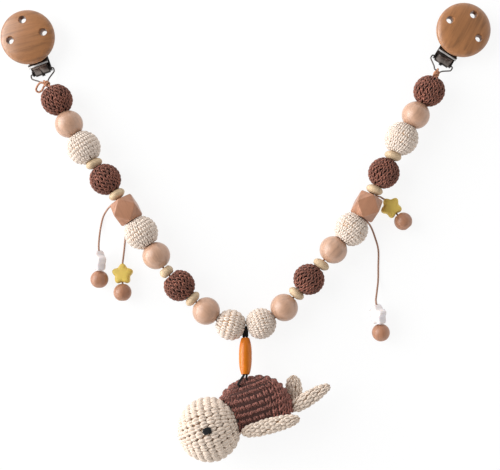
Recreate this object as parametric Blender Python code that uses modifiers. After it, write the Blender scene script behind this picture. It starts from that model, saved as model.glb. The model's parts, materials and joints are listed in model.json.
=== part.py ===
"""Pram chain: two wooden clips, a string of beads, side pendants and a crocheted turtle.

The chain lies flat with +Z up. Its string runs level, and the bottom of the lowest piece is at Z = 0.
"""
import math

import bmesh
import bpy
from mathutils import Matrix, Vector

MM = 0.001

# Clearances between pieces that touch on the real chain
CLEARANCE = 0.3 * MM
OVERRUN = 1.0 * MM
MERGE = 0.01 * MM

# The string and where the middle of the chain lies
STRING_DIAMETER = 1.3 * MM
MIDDLE_X = 0.31 * MM
MIDDLE_Y = -63.71 * MM
FLEX_DEGREES = 4.0
MIDDLE_ROOM = 1.65 * MM

# Headings of the beads from the middle out to the clip, in degrees
LEFT_HEADINGS = (163.5, 138.0, 138.0, 134.0, 129.5, 120.0, 126.5,
                 120.0, 123.0, 129.0, 116.0, 126.0, 117.5, 116.0)
RIGHT_HEADINGS = (21.5, 47.5, 53.0, 47.0, 59.0, 47.0, 51.0,
                  62.5, 68.5, 58.0, 72.5, 61.0, 56.0, 66.0)

# Bead kinds from the middle out to the clip
LEFT_KINDS = ("cream_crochet", "beech_ball", "lens_spacer", "brown_crochet", "barrel_spacer",
              "beech_ball", "cream_crochet", "facet_bead", "lens_spacer", "brown_crochet",
              "lens_spacer", "cream_crochet", "beech_ball", "brown_crochet")
RIGHT_KINDS = LEFT_KINDS[:4] + ("lens_spacer",) + LEFT_KINDS[5:]

# Crocheted balls: a wooden core inside a cotton cover
CROCHET_RADIUS = 10.4 * MM
CROCHET_HALF_LENGTH = 8.55 * MM
CROCHET_RIM = 2.6 * MM

# Plain beech balls
BALL_RADIUS = 8.95 * MM
BALL_HALF_LENGTH = 8.4 * MM
BALL_RIM = 2.6 * MM

# Pale lens and barrel spacers
LENS_RADIUS = 5.5 * MM
LENS_HALF_LENGTH = 2.85 * MM
LENS_RIM = 2.4 * MM
BARREL_RADIUS = 4.6 * MM
BARREL_HALF_LENGTH = 2.85 * MM
BARREL_RIM = 3.0 * MM

# Faceted beech bead: squares and triangles in turn
FACET_HALF_LENGTH = 7.0 * MM
FACET_HALF_WIDTH = 7.5 * MM
FACET_RIM = 2.6 * MM
FACET_CORNER_SHARE = 0.12

BORE_RADIUS = 1.9 * MM
SPACER_BORE_RADIUS = 1.5 * MM

# Wooden clip discs
DISC_RADIUS = 17.5 * MM
DISC_THICKNESS = 6.0 * MM
DISC_EDGE = 1.4 * MM
DISC_FULLNESS = 2.4
VENT_RADIUS = 2.25 * MM
VENT_CIRCLE = 11.0 * MM
VENT_TURNS = (90.0, 180.0, 270.0)

# Steel clip: base with ears and a leaning end wall, and the lever under the disc
SHEET = 0.8 * MM
BASE_FRONT = -8.5 * MM
BASE_END = 21.0 * MM
BASE_WIDTH = 13.2 * MM
EAR_FRONT = -8.0 * MM
EAR_BACK = -3.6 * MM
EAR_HEIGHT = 6.2 * MM
EAR_INSET = 0.1 * MM
PIVOT_X = -6.0 * MM
PIVOT_Z = 4.2 * MM
PIN_RADIUS = 0.7 * MM
WALL_INSET = 1.6 * MM
WALL_WIDTH = BASE_WIDTH - 2 * WALL_INSET
WALL_FOOT_X = 23.8 * MM
WALL_TOP_X = 19.4 * MM
WALL_HEIGHT = 6.9 * MM
FLANGE_FRONT = 16.7 * MM
PANEL_LENGTH = 4.6 * MM
PANEL_WIDTH = 3.8 * MM
PANEL_PROUD = 0.35 * MM
TAB_LENGTH = 1.0 * MM
TAB_WIDTH = 2.0 * MM
LUG_FRONT = 20.7 * MM
LUG_BACK = 23.3 * MM
LUG_HEIGHT = 3.4 * MM
LEVER_FRONT = -8.0 * MM
LEVER_END = 16.3 * MM
LEVER_TOP = 7.1 * MM
LEVER_WIDTH = BASE_WIDTH - 2 * (SHEET + EAR_INSET + CLEARANCE)
CHEEK_FOOT = 3.0 * MM
TONGUE_FRONT = -4.2 * MM
TONGUE_BACK = -1.0 * MM
TONGUE_WIDTH = 7.2 * MM
SCREW_RADIUS = 1.2 * MM
SCREW_HEIGHT = 2.8 * MM
SCREW_PLACES = (2.0 * MM, 10.0 * MM)
PAD_FRONT = -4.6 * MM
PAD_BACK = -0.6 * MM
PAD_WIDTH = 8.4 * MM
TOOTH_DEPTH = 0.5 * MM
TOOTH_PITCH = 1.2 * MM

# Wire bail that joins a clip to the string
WIRE_DIAMETER = 0.9 * MM
BAIL_REACH = 30.5 * MM
BAIL_PIVOT_X = 22.0 * MM
BAIL_PIVOT_Z = 2.0 * MM
BAIL_ROOM = 0.7 * MM
BAIL_WIDTH = BASE_WIDTH + WIRE_DIAMETER + 2 * BAIL_ROOM
BAIL_TIP_Z = 6.0 * MM

# Knots that tie the string to the bails
KNOT_REACH = 6.2 * MM
KNOT_STARTS = {"left": 3.1 * MM, "right": 2.0 * MM}
KNOT_TURNS = {"left": 1.5, "right": 2.0}
KNOT_HEADINGS = {"left": 140.0, "right": 67.0}
CLIP_HEADINGS = {"left": -70.0, "right": -122.5}
LEAVE_SHARE = 0.6

# Side pendants: thin cords, star beads and small end beads
SIDE_CORD_DIAMETER = 1.2 * MM
STAR_RADIUS = 6.9 * MM
STAR_WAIST_SHARE = 0.15
STAR_THICKNESS = 6.6 * MM
STAR_EDGE = 1.1 * MM
STAR_BORE_RADIUS = 0.95 * MM
STAR_POINT_LEAD = 0.5 * MM
END_BEAD_RADIUS = 5.8 * MM
END_BEAD_HALF_LENGTH = 5.3 * MM
END_BEAD_RIM = 2.3 * MM
END_BEAD_GAP = 1.5 * MM

# Each side cord's route from the string to its star: across, up the page and above the table
SIDE_ROUTES = {
    ("left", "long"): ((-1.2 * MM, -0.8 * MM, 10.2 * MM), (-4.6 * MM, -3.0 * MM, 9.0 * MM),
                       (-8.6 * MM, -5.8 * MM, 4.8 * MM), (-12.3 * MM, -10.9 * MM, 1.3 * MM),
                       (-14.0 * MM, -17.4 * MM, 1.0 * MM), (-14.4 * MM, -24.0 * MM, 4.0 * MM),
                       (-14.2 * MM, -29.6 * MM, 7.6 * MM), (-14.0 * MM, -32.44 * MM, 8.21 * MM)),
    ("left", "short"): ((-1.2 * MM, -0.8 * MM, 10.2 * MM), (-3.3 * MM, -2.9 * MM, 7.6 * MM),
                        (-5.0 * MM, -6.4 * MM, 3.0 * MM), (-6.0 * MM, -12.2 * MM, 0.9 * MM),
                        (-6.7 * MM, -19.0 * MM, 0.9 * MM), (-7.1 * MM, -24.4 * MM, 2.2 * MM),
                        (-7.32 * MM, -27.28 * MM, 3.24 * MM)),
    ("right", "long"): ((1.2 * MM, -0.7 * MM, 10.2 * MM), (4.4 * MM, -2.6 * MM, 7.8 * MM),
                        (7.6 * MM, -6.2 * MM, 3.4 * MM), (10.3 * MM, -12.2 * MM, 1.0 * MM),
                        (12.7 * MM, -20.9 * MM, 0.8 * MM), (12.7 * MM, -32.2 * MM, 0.8 * MM),
                        (12.5 * MM, -41.0 * MM, 1.4 * MM), (11.2 * MM, -48.0 * MM, 4.8 * MM),
                        (10.2 * MM, -53.0 * MM, 7.2 * MM), (10.37 * MM, -55.53 * MM, 7.68 * MM)),
    ("right", "short"): ((1.2 * MM, -0.5 * MM, 10.2 * MM), (3.6 * MM, -0.6 * MM, 8.8 * MM),
                         (6.0 * MM, -0.9 * MM, 5.6 * MM), (7.7 * MM, -1.7 * MM, 3.6 * MM),
                         (8.43 * MM, -1.97 * MM, 3.21 * MM)),
}
# The heading and rise of each cord through its star, the star's roll about the cord, and its colour
STAR_AIMS = {
    ("left", "long"): (-90.0, -6.3, 72.0, "white"),
    ("left", "short"): (-89.0, 8.2, 0.0, "yellow"),
    ("right", "long"): (-80.4, -5.3, 64.0, "white"),
    ("right", "short"): (-50.3, 8.5, 0.0, "yellow"),
}

# Middle pendant: black cord, long lacquered bead and the turtle
BLACK_CORD_DIAMETER = 1.5 * MM
STRAND_OFFSET = 0.9 * MM
LONG_BEAD_RADIUS = 4.15 * MM
LONG_BEAD_HALF_LENGTH = 11.6 * MM
LONG_BEAD_RIM = 2.5 * MM
LONG_BEAD_BORE = 2.0 * MM
LONG_BEAD_DROP = 16.7 * MM
LONG_BEAD_Z = 14.5 * MM
LONG_BEAD_SLOPE = 16.0

# Where the two strands enter the shell, along and up it, and the crest that the first one goes over
STRAND_SPOT_SHARES = ((-0.16, 0.912), (0.06, 0.99))
STRAND_CREST_SHARE = (-0.0375, 1.035, 0.336)
STRAND_DEPTH = 4.0 * MM
STRAND_LEAD = 1.6 * MM

# Turtle, in its own frame: X to the tail, Y up its back, Z out of its side
TURTLE_X = 7.5 * MM
TURTLE_SLACK = 0.6 * MM
TURTLE_HEADING = 18.0
EYE_PROUD = 0.5 * MM
EYE_RADIUS = 2.4 * MM
EYE_THREAD_RADIUS = 0.6 * MM
EYE_BACK = 0.6 * MM
EYE_UP = 3.5 * MM
SHELL_HALF_LENGTH = 25.6 * MM
SHELL_HEIGHT = 28.4 * MM
SHELL_HALF_WIDTH = 14.6 * MM
TURTLE_DROP = LONG_BEAD_DROP + LONG_BEAD_HALF_LENGTH + SHELL_HEIGHT + TURTLE_SLACK
BELLY_BULGE = 1.0 * MM
SHELL_FULLNESS = 2.5
HEAD_PROUD = 5.6 * MM
HEAD_RADIUS = SHELL_HALF_WIDTH + HEAD_PROUD
HEAD_FORWARD = 30.6 * MM
HEAD_UP = 5.1 * MM

# Flippers, in shares of the shell's half length, height and half width: base and tip, then
# half width and half thickness in shares of the shell's half width, and the tip's share
FLIPPER_FULLNESS = 2.4
FLIPPER_SHARES = {
    "near_front_flipper": ((-0.45, -0.056, 0.966), (1.023, -0.141, 0.966), 0.335, 0.21, 0.85),
    "far_front_flipper": ((-0.47, -0.056, -0.438), (0.78, -0.113, -0.438), 0.3, 0.19, 0.85),
    "near_back_flipper": ((0.86, 0.021, 0.247), (1.973, 0.275, 0.247), 0.356, 0.205, 0.62),
    "far_back_flipper": ((0.957, -0.035, -0.507), (1.184, 0.669, -0.507), 0.37, 0.19, 0.95),
}


def clear_scene():
    for thing in list(bpy.data.objects):
        bpy.data.objects.remove(thing, do_unlink=True)


def new_collection(name):
    collection = bpy.data.collections.new(name)
    bpy.context.scene.collection.children.link(collection)
    return collection


def finish(name, colour, roughness, metallic=0.0):
    """A Principled material with one colour."""
    material = bpy.data.materials.new(name)
    material.use_nodes = True
    shader = material.node_tree.nodes["Principled BSDF"]
    shader.inputs["Base Color"].default_value = (*colour, 1.0)
    shader.inputs["Roughness"].default_value = roughness
    shader.inputs["Metallic"].default_value = metallic
    material.diffuse_color = (*colour, 1.0)
    return material


clear_scene()
PARTS = new_collection("pram_chain")
CUTTERS = new_collection("pram_chain_cutters")
PIVOTS = {}

BEECH = finish("oiled_beech", (0.60, 0.38, 0.23), 0.5)
PALE_WOOD = finish("pale_maple", (0.62, 0.50, 0.34), 0.45)
BROWN_COTTON = finish("brown_cotton", (0.19, 0.085, 0.065), 0.9)
CREAM_COTTON = finish("cream_cotton", (0.74, 0.64, 0.54), 0.9)
CLIP_STEEL = finish("clip_steel", (0.42, 0.40, 0.38), 0.35, 1.0)
JAW_PLASTIC = finish("jaw_plastic", (0.85, 0.85, 0.83), 0.5)
CARAMEL_CORD = finish("caramel_cord", (0.50, 0.22, 0.09), 0.6)
TAN_CORD = finish("tan_cord", (0.40, 0.22, 0.15), 0.6)
BLACK_CORD = finish("black_cord", (0.012, 0.011, 0.011), 0.6)
WHITE_SILICONE = finish("white_silicone", (0.80, 0.77, 0.78), 0.45)
YELLOW_SILICONE = finish("yellow_silicone", (0.80, 0.58, 0.10), 0.45)
AMBER_LACQUER = finish("amber_lacquer", (0.66, 0.29, 0.035), 0.2)
BLACK_YARN = finish("black_yarn", (0.01, 0.01, 0.01), 0.6)


def heading_vector(degrees):
    return Vector((math.cos(math.radians(degrees)), math.sin(math.radians(degrees)), 0.0))


def along(direction, centre):
    """The place of a turned piece whose axis follows a direction."""
    turn = direction.to_track_quat("Z", "Y").to_matrix().to_4x4()
    return Matrix.Translation(centre) @ turn


def pivot(name, centre):
    """An empty on the axis of a moving piece."""
    empty = bpy.data.objects.new(name, None)
    empty.location = centre
    PARTS.objects.link(empty)
    PIVOTS[name] = Vector(centre)
    return empty


def place_object(thing, place, empty, cutter):
    if cutter:
        thing.hide_render = True
        thing.display_type = "WIRE"
        CUTTERS.objects.link(thing)
    else:
        PARTS.objects.link(thing)
    if empty is None:
        thing.matrix_world = place
    else:
        thing.parent = empty
        thing.matrix_local = Matrix.Translation(-Vector(empty.location)) @ place
    return thing


def mesh_piece(name, mesh, surface, place, empty=None, cutter=False, smooth=True):
    if smooth:
        mesh.shade_smooth()
        mesh.set_sharp_from_angle(angle=math.radians(35.0))
    mesh.materials.append(surface)
    return place_object(bpy.data.objects.new(name, mesh), place, empty, cutter)


def box(name, low, high, surface, place, empty=None, cutter=False):
    """A box between two corners."""
    mesh = bpy.data.meshes.new(name)
    form = bmesh.new()
    bmesh.ops.create_cube(form, size=1.0)
    size = Vector(high) - Vector(low)
    middle = (Vector(high) + Vector(low)) / 2
    for vertex in form.verts:
        vertex.co = Vector(c * s for c, s in zip(vertex.co, size)) + middle
    form.to_mesh(mesh)
    form.free()
    return mesh_piece(name, mesh, surface, place, empty, cutter, smooth=False)


def rod(name, radius, start, end, surface, place, empty=None, cutter=False, sides=12):
    """A cylinder between two points."""
    mesh = bpy.data.meshes.new(name)
    form = bmesh.new()
    axis = Vector(end) - Vector(start)
    turn = axis.to_track_quat("Z", "Y").to_matrix().to_4x4()
    middle = Matrix.Translation((Vector(start) + Vector(end)) / 2) @ turn
    bmesh.ops.create_cone(form, cap_ends=True, segments=sides, radius1=radius, radius2=radius,
                          depth=axis.length, matrix=middle)
    form.to_mesh(mesh)
    form.free()
    return mesh_piece(name, mesh, surface, place, empty, cutter)


def turned(name, outline, steps, surface, place, empty=None, cutter=False, ring=True):
    """A turned shape: an outline at +X that runs down its outer side."""
    mesh = bpy.data.meshes.new(name)
    points = [(x, 0.0, z) for x, z in outline]
    edges = [(i, i + 1) for i in range(len(points) - 1)]
    if ring:
        edges.append((len(points) - 1, 0))
    mesh.from_pydata(points, edges, [])
    thing = mesh_piece(name, mesh, surface, place, empty, cutter, smooth=False)
    screw = thing.modifiers.new("turn", "SCREW")
    screw.steps = steps
    screw.render_steps = steps
    screw.use_merge_vertices = True
    screw.merge_threshold = MERGE
    screw.use_smooth_shade = True
    return thing


def tube(name, points, diameter, surface, empty=None):
    """A round cord or wire along a list of points."""
    curve = bpy.data.curves.new(name, "CURVE")
    curve.dimensions = "3D"
    curve.bevel_depth = diameter / 2
    curve.bevel_resolution = 2
    curve.use_fill_caps = True
    spline = curve.splines.new("POLY")
    spline.points.add(len(points) - 1)
    for slot, point in zip(spline.points, points):
        slot.co = (*point, 1.0)
    curve.materials.append(surface)
    return place_object(bpy.data.objects.new(name, curve), Matrix.Identity(4), empty, False)


def boolean(thing, other, operation):
    change = thing.modifiers.new(operation.lower(), "BOOLEAN")
    change.operation = operation
    change.solver = "EXACT"
    change.object = other


def cut(thing, *cutters):
    for cutter in cutters:
        boolean(thing, cutter, "DIFFERENCE")


def join(thing, *others):
    for other in others:
        boolean(thing, other, "UNION")


def smooth_path(points, spacing):
    """Points read at a spacing along a smooth curve through the given points."""
    points = [Vector(p) for p in points]
    ends = [2 * points[0] - points[1], *points, 2 * points[-1] - points[-2]]
    path = [points[0]]
    for before, start, end, after in zip(ends, ends[1:], ends[2:], ends[3:]):
        count = max(1, round((end - start).length / spacing))
        for step in range(1, count + 1):
            t = step / count
            path.append(0.5 * (2 * start + (end - before) * t
                               + (2 * before - 5 * start + 4 * end - after) * t * t
                               + (3 * start - before - 3 * end + after) * t ** 3))
    return path


def bead_outline(radius, half_length, rim, bore, arcs, fullness=2.0):
    """Half section of a bored bead with a flat rim round the bore at each end."""
    rim_share = (rim / radius) ** fullness
    bulge = half_length / (1.0 - rim_share) ** (1.0 / fullness)
    first = math.atan2((half_length / bulge) ** (fullness / 2), (rim / radius) ** (fullness / 2))
    outline = [(bore, half_length)]
    for step in range(arcs + 1):
        angle = first - 2.0 * first * step / arcs
        out = radius * abs(math.cos(angle)) ** (2.0 / fullness)
        up = math.copysign(bulge * abs(math.sin(angle)) ** (2.0 / fullness), angle)
        outline.append((out, up))
    outline.append((bore, -half_length))
    return outline


# kind: radius, half length, rim, bore and surface
BEADS = {
    "cream_crochet": (CROCHET_RADIUS, CROCHET_HALF_LENGTH, CROCHET_RIM, BORE_RADIUS, CREAM_COTTON),
    "brown_crochet": (CROCHET_RADIUS, CROCHET_HALF_LENGTH, CROCHET_RIM, BORE_RADIUS, BROWN_COTTON),
    "beech_ball": (BALL_RADIUS, BALL_HALF_LENGTH, BALL_RIM, BORE_RADIUS, BEECH),
    "lens_spacer": (LENS_RADIUS, LENS_HALF_LENGTH, LENS_RIM, SPACER_BORE_RADIUS, PALE_WOOD),
    "barrel_spacer": (BARREL_RADIUS, BARREL_HALF_LENGTH, BARREL_RIM, SPACER_BORE_RADIUS, PALE_WOOD),
    "facet_bead": (FACET_HALF_WIDTH, FACET_HALF_LENGTH, FACET_RIM, BORE_RADIUS, BEECH),
}
STRING_Z = CROCHET_RADIUS


def junction_gap(kind, other, bend):
    """Room between two beads, so that their rims clear when the string bends there."""
    rim = max(BEADS[kind][2], BEADS[other][2])
    gap = CLEARANCE + 2 * rim * math.tan(math.radians((abs(bend) + FLEX_DEGREES) / 2))
    if "facet_bead" in (kind, other):
        gap += SIDE_CORD_DIAMETER
    return gap


def walk_arm(kinds, headings):
    """Thread one arm's beads from the middle out: their centres, and the junctions between them."""
    junction = Vector((MIDDLE_X, MIDDLE_Y, STRING_Z))
    junctions = [junction]
    centres = []
    room = MIDDLE_ROOM
    for index, (kind, heading) in enumerate(zip(kinds, headings)):
        half = BEADS[kind][1]
        direction = heading_vector(heading)
        centres.append(junction + direction * (room + half))
        next_room = CLEARANCE
        if index + 1 < len(kinds):
            bend = headings[index + 1] - heading
            next_room = junction_gap(kind, kinds[index + 1], bend) / 2
        junction = junction + direction * (room + 2 * half + next_room)
        junctions.append(junction)
        room = next_room
    return centres, junctions


ARMS = {
    "left": (LEFT_KINDS, LEFT_HEADINGS, *walk_arm(LEFT_KINDS, LEFT_HEADINGS)),
    "right": (RIGHT_KINDS, RIGHT_HEADINGS, *walk_arm(RIGHT_KINDS, RIGHT_HEADINGS)),
}


def facet_mesh(name):
    """Twelve corners at the mid-edges of a cube, blunted, wrapped in flat faces."""
    mesh = bpy.data.meshes.new(name)
    form = bmesh.new()
    wide = FACET_HALF_WIDTH
    for a in (-wide, wide):
        for b in (-wide, wide):
            form.verts.new((a, b, 0.0))
        for end in (-FACET_HALF_LENGTH, FACET_HALF_LENGTH):
            form.verts.new((a, 0.0, end))
            form.verts.new((0.0, a, end))
    bmesh.ops.convex_hull(form, input=form.verts)
    bmesh.ops.dissolve_limit(form, angle_limit=math.radians(5.0), verts=form.verts, edges=form.edges)
    bmesh.ops.bevel(form, geom=form.verts, offset=FACET_CORNER_SHARE * wide, segments=1,
                    affect="VERTICES")
    form.to_mesh(mesh)
    form.free()
    return mesh


def build_bead(name, kind, heading, centre, empty):
    radius, half, rim, bore, surface = BEADS[kind]
    place = along(heading_vector(heading), centre)
    if kind == "facet_bead":
        bead = mesh_piece(name, facet_mesh(name), surface, place, empty, smooth=False)
        drill = rod(name + "_drill", bore, (0.0, 0.0, -half - OVERRUN), (0.0, 0.0, half + OVERRUN),
                    surface, place, cutter=True)
        cut(bead, drill)
        return bead
    small = "spacer" in kind
    outline = bead_outline(radius, half, rim, bore, 4 if small else 6)
    return turned(name, outline, 12 if small else 16, surface, place, empty)


def build_arm(side):
    kinds, headings, centres, junctions = ARMS[side]
    count = len(kinds)
    for index, (kind, heading, centre) in enumerate(zip(kinds, headings, centres)):
        name = f"{side}_{count - index:02d}_{kind}"
        empty = pivot(name + "_pivot", junctions[index])
        build_bead(name, kind, heading, centre, empty)


def knot_frame(side):
    """The bail's tip, the direction from it to the first bead, and the knot's up and side ways."""
    last = ARMS[side][3][-1]
    tip = last + heading_vector(KNOT_HEADINGS[side]) * KNOT_REACH
    tip.z = BAIL_TIP_Z
    wire_way = Vector((0.0, 0.0, 1.0)).cross(heading_vector(CLIP_HEADINGS[side]))
    to_bead = (last - tip).normalized()
    up = wire_way.cross(to_bead).normalized()
    if up.z < 0.0:
        up = -up
    return tip, to_bead, up, to_bead.cross(up)


def knot_points(side):
    """From the string's end, wraps round itself, then a turn round the bail's wire."""
    tip, to_bead, up, side_way = knot_frame(side)
    turn_radius = (WIRE_DIAMETER + STRING_DIAMETER + CLEARANCE) / 2 + CLEARANCE
    wrap_radius = STRING_DIAMETER + CLEARANCE / 2
    pitch = STRING_DIAMETER + CLEARANCE / 2
    standing = tip + up * turn_radius
    points = []
    steps = round(KNOT_TURNS[side] * 12)
    for step in range(steps, 0, -1):
        angle = math.radians(360.0 * step / 12)
        fade = min(1.0, step / 6)
        radius = 2 * turn_radius * (1.0 - fade) + wrap_radius * fade
        ring = -up * math.cos(angle) + side_way * math.sin(angle)
        points.append(standing + to_bead * (KNOT_STARTS[side] + pitch * step / 12) + ring * radius)
    for step in range(7):
        angle = math.radians(-90.0 - 30.0 * step)
        points.append(tip + turn_radius * (to_bead * math.cos(angle) + up * math.sin(angle)))
    return points, standing


def build_string():
    """One string, whole, from the knot on the left bail to the knot on the right one."""
    spacing = 6 * STRING_DIAMETER
    ends = {}
    for side in ("left", "right"):
        knot, standing = knot_points(side)
        to_bead = knot_frame(side)[1]
        centres, junctions = ARMS[side][2:]
        arm = [spot for pair in zip(junctions, centres) for spot in pair]
        last = junctions[-1]
        leave = standing + to_bead * (last - standing).length * LEAVE_SHARE
        ends[side] = (knot, [*arm, last, leave, knot[-1]])
    route = [*reversed(ends["left"][1]), *ends["right"][1][1:]]
    path = ends["left"][0][:-1] + smooth_path(route, spacing) + list(reversed(ends["right"][0][:-1]))
    tube("main_string", path, STRING_DIAMETER, CARAMEL_CORD, pivot("main_string_pivot", ARMS["left"][3][0]))


def clip_place(side):
    """The clip's frame: origin under the disc's centre, X towards the string."""
    heading = CLIP_HEADINGS[side]
    tip = knot_frame(side)[0]
    origin = tip - heading_vector(heading) * BAIL_REACH
    origin.z = 0.0
    return Matrix.Translation(origin) @ Matrix.Rotation(math.radians(heading), 4, "Z")


def disc_outline():
    """Half section of the domed disc: flat below, rounded at the edge, domed above."""
    bottom = LEVER_TOP + CLEARANCE
    dome = DISC_THICKNESS - DISC_EDGE
    power = 2.0 / DISC_FULLNESS
    outline = [(0.0, bottom + DISC_THICKNESS)]
    for step in range(1, 8):
        angle = math.radians(90.0 - 90.0 * step / 7)
        outline.append((DISC_RADIUS * math.cos(angle) ** power,
                        bottom + DISC_EDGE + dome * max(0.0, math.sin(angle)) ** power))
    for step in (1, 2):
        angle = math.radians(45.0 * step)
        outline.append((DISC_RADIUS - DISC_EDGE * (1.0 - math.cos(angle)),
                        bottom + DISC_EDGE * (1.0 - math.sin(angle))))
    outline.append((0.0, bottom))
    return outline


def build_disc(side, place, empty):
    name = f"{side}_clip_disc"
    disc = turned(name, disc_outline(), 24, BEECH, place, empty, ring=False)
    top = LEVER_TOP + DISC_THICKNESS + OVERRUN
    for turn in VENT_TURNS:
        spot = heading_vector(turn) * VENT_CIRCLE
        cut(disc, rod(f"{name}_vent_{turn:.0f}", VENT_RADIUS, (spot.x, spot.y, LEVER_TOP - OVERRUN),
                      (spot.x, spot.y, top), BEECH, place, cutter=True, sides=14))
    for x in SCREW_PLACES:
        cut(disc, rod(f"{name}_screw_hole", SCREW_RADIUS + CLEARANCE, (x, 0.0, LEVER_TOP - OVERRUN),
                      (x, 0.0, LEVER_TOP + SCREW_HEIGHT + CLEARANCE), BEECH, place, cutter=True, sides=10))


def build_base(side, place, empty):
    """Bent sheet: floor, pivot ears, a leaning end wall with two pressed panels, and bail lugs."""
    name = f"{side}_clip_base"
    half = BASE_WIDTH / 2
    base = box(name, (BASE_FRONT, -half, 0.0), (BASE_END, half, SHEET), CLIP_STEEL, place, empty)
    lean = Vector((WALL_TOP_X - WALL_FOOT_X, 0.0, WALL_HEIGHT))
    wall_place = place @ Matrix.Translation((WALL_FOOT_X, 0.0, 0.0)) @ lean_matrix(lean)
    foot = box(name + "_foot", (BASE_END - OVERRUN, -half, 0.0), (WALL_FOOT_X - SHEET, half, SHEET),
               CLIP_STEEL, place, cutter=True)
    wall = box(name + "_wall", (-SHEET, -WALL_WIDTH / 2, 0.0), (0.0, WALL_WIDTH / 2, lean.length),
               CLIP_STEEL, wall_place, cutter=True)
    trim = box(name + "_trim", (FLANGE_FRONT, -half - OVERRUN, -BASE_END), (WALL_FOOT_X + BASE_END,
               half + OVERRUN, 0.0), CLIP_STEEL, place, cutter=True)
    cut(wall, trim)
    flange = box(name + "_flange", (FLANGE_FRONT, -half, WALL_HEIGHT - SHEET),
                 (WALL_TOP_X - SHEET / 2, half, WALL_HEIGHT), CLIP_STEEL, place, cutter=True)
    tab = box(name + "_tab", (WALL_FOOT_X - 2 * SHEET, -TAB_WIDTH / 2, SHEET / 4),
              (WALL_FOOT_X + TAB_LENGTH, TAB_WIDTH / 2, SHEET - CLEARANCE / 4), CLIP_STEEL, place, cutter=True)
    join(base, foot, wall, flange, tab)
    middle = lean.length / 2
    for way in (-1, 1):
        y = way * WALL_WIDTH / 4
        panel = box(f"{name}_panel_{way}", (-SHEET / 2, y - PANEL_WIDTH / 2, middle - PANEL_LENGTH / 2),
                    (PANEL_PROUD, y + PANEL_WIDTH / 2, middle + PANEL_LENGTH / 2),
                    CLIP_STEEL, wall_place, cutter=True)
        inner, outer = sorted((way * (half - EAR_INSET - SHEET), way * (half - EAR_INSET)))
        ear = box(f"{name}_ear_{way}", (EAR_FRONT, inner, SHEET / 2), (EAR_BACK, outer, EAR_HEIGHT),
                  CLIP_STEEL, place, cutter=True)
        lug = box(f"{name}_lug_{way}", (LUG_FRONT, inner, SHEET / 2), (LUG_BACK, outer, LUG_HEIGHT),
                  CLIP_STEEL, place, cutter=True)
        reach = half + OVERRUN
        cut(ear, rod(f"{name}_pivot_hole_{way}", PIN_RADIUS + CLEARANCE, (PIVOT_X, 0.0, PIVOT_Z),
                     (PIVOT_X, way * reach, PIVOT_Z), CLIP_STEEL, place, cutter=True))
        cut(lug, rod(f"{name}_bail_hole_{way}", WIRE_DIAMETER / 2 + CLEARANCE,
                     (BAIL_PIVOT_X, 0.0, BAIL_PIVOT_Z), (BAIL_PIVOT_X, way * reach, BAIL_PIVOT_Z),
                     CLIP_STEEL, place, cutter=True))
        join(base, panel, ear, lug)


def lean_matrix(lean):
    """A frame whose Z runs along the leaning wall and whose X points out of it."""
    up = lean.normalized()
    out = Vector((0.0, 1.0, 0.0)).cross(up)
    frame = Matrix((out, (0.0, 1.0, 0.0), up)).transposed()
    return frame.to_4x4()


def build_lever(side, place, empty):
    """Channel under the disc: plate, cheeks with pivot pins, clamping tongue and two screws."""
    name = f"{side}_clip_lever"
    half = LEVER_WIDTH / 2
    below = LEVER_TOP - SHEET
    lever = box(name, (LEVER_FRONT, -half, below), (LEVER_END, half, LEVER_TOP), CLIP_STEEL, place, empty)
    tongue = box(name + "_tongue", (TONGUE_FRONT, -TONGUE_WIDTH / 2, CHEEK_FOOT),
                 (TONGUE_BACK, TONGUE_WIDTH / 2, below + SHEET / 2), CLIP_STEEL, place, cutter=True)
    join(lever, tongue)
    for way in (-1, 1):
        inner, outer = sorted((way * (half - SHEET), way * half))
        cheek = box(f"{name}_cheek_{way}", (LEVER_FRONT + SHEET / 4, inner, CHEEK_FOOT),
                    (EAR_BACK - SHEET / 4, outer, below + SHEET / 2), CLIP_STEEL, place, cutter=True)
        pin = rod(f"{name}_pin_{way}", PIN_RADIUS, (PIVOT_X, way * (half - SHEET / 2), PIVOT_Z),
                  (PIVOT_X, way * (BASE_WIDTH / 2 - SHEET / 4), PIVOT_Z), CLIP_STEEL, place, cutter=True)
        join(lever, cheek, pin)
    for x in SCREW_PLACES:
        screw = rod(f"{name}_screw", SCREW_RADIUS, (x, 0.0, LEVER_TOP - SHEET / 2),
                    (x, 0.0, LEVER_TOP + SCREW_HEIGHT), CLIP_STEEL, place, cutter=True, sides=10)
        join(lever, screw)


def build_pad(side, place, empty):
    """Toothed plastic jaw pad on the base, under the lever's tongue."""
    name = f"{side}_clip_jaw_pad"
    top = CHEEK_FOOT - CLEARANCE
    pad = box(name, (PAD_FRONT, -PAD_WIDTH / 2, SHEET + CLEARANCE), (PAD_BACK, PAD_WIDTH / 2, top),
              JAW_PLASTIC, place, empty)
    middle = (PAD_FRONT + PAD_BACK) / 2
    for step in (-1, 0, 1):
        x = middle + step * TOOTH_PITCH
        groove = box(f"{name}_groove", (x - TOOTH_PITCH / 4, -PAD_WIDTH, top - TOOTH_DEPTH),
                     (x + TOOTH_PITCH / 4, PAD_WIDTH, top + OVERRUN), JAW_PLASTIC, place, cutter=True)
        cut(pad, groove)


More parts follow.
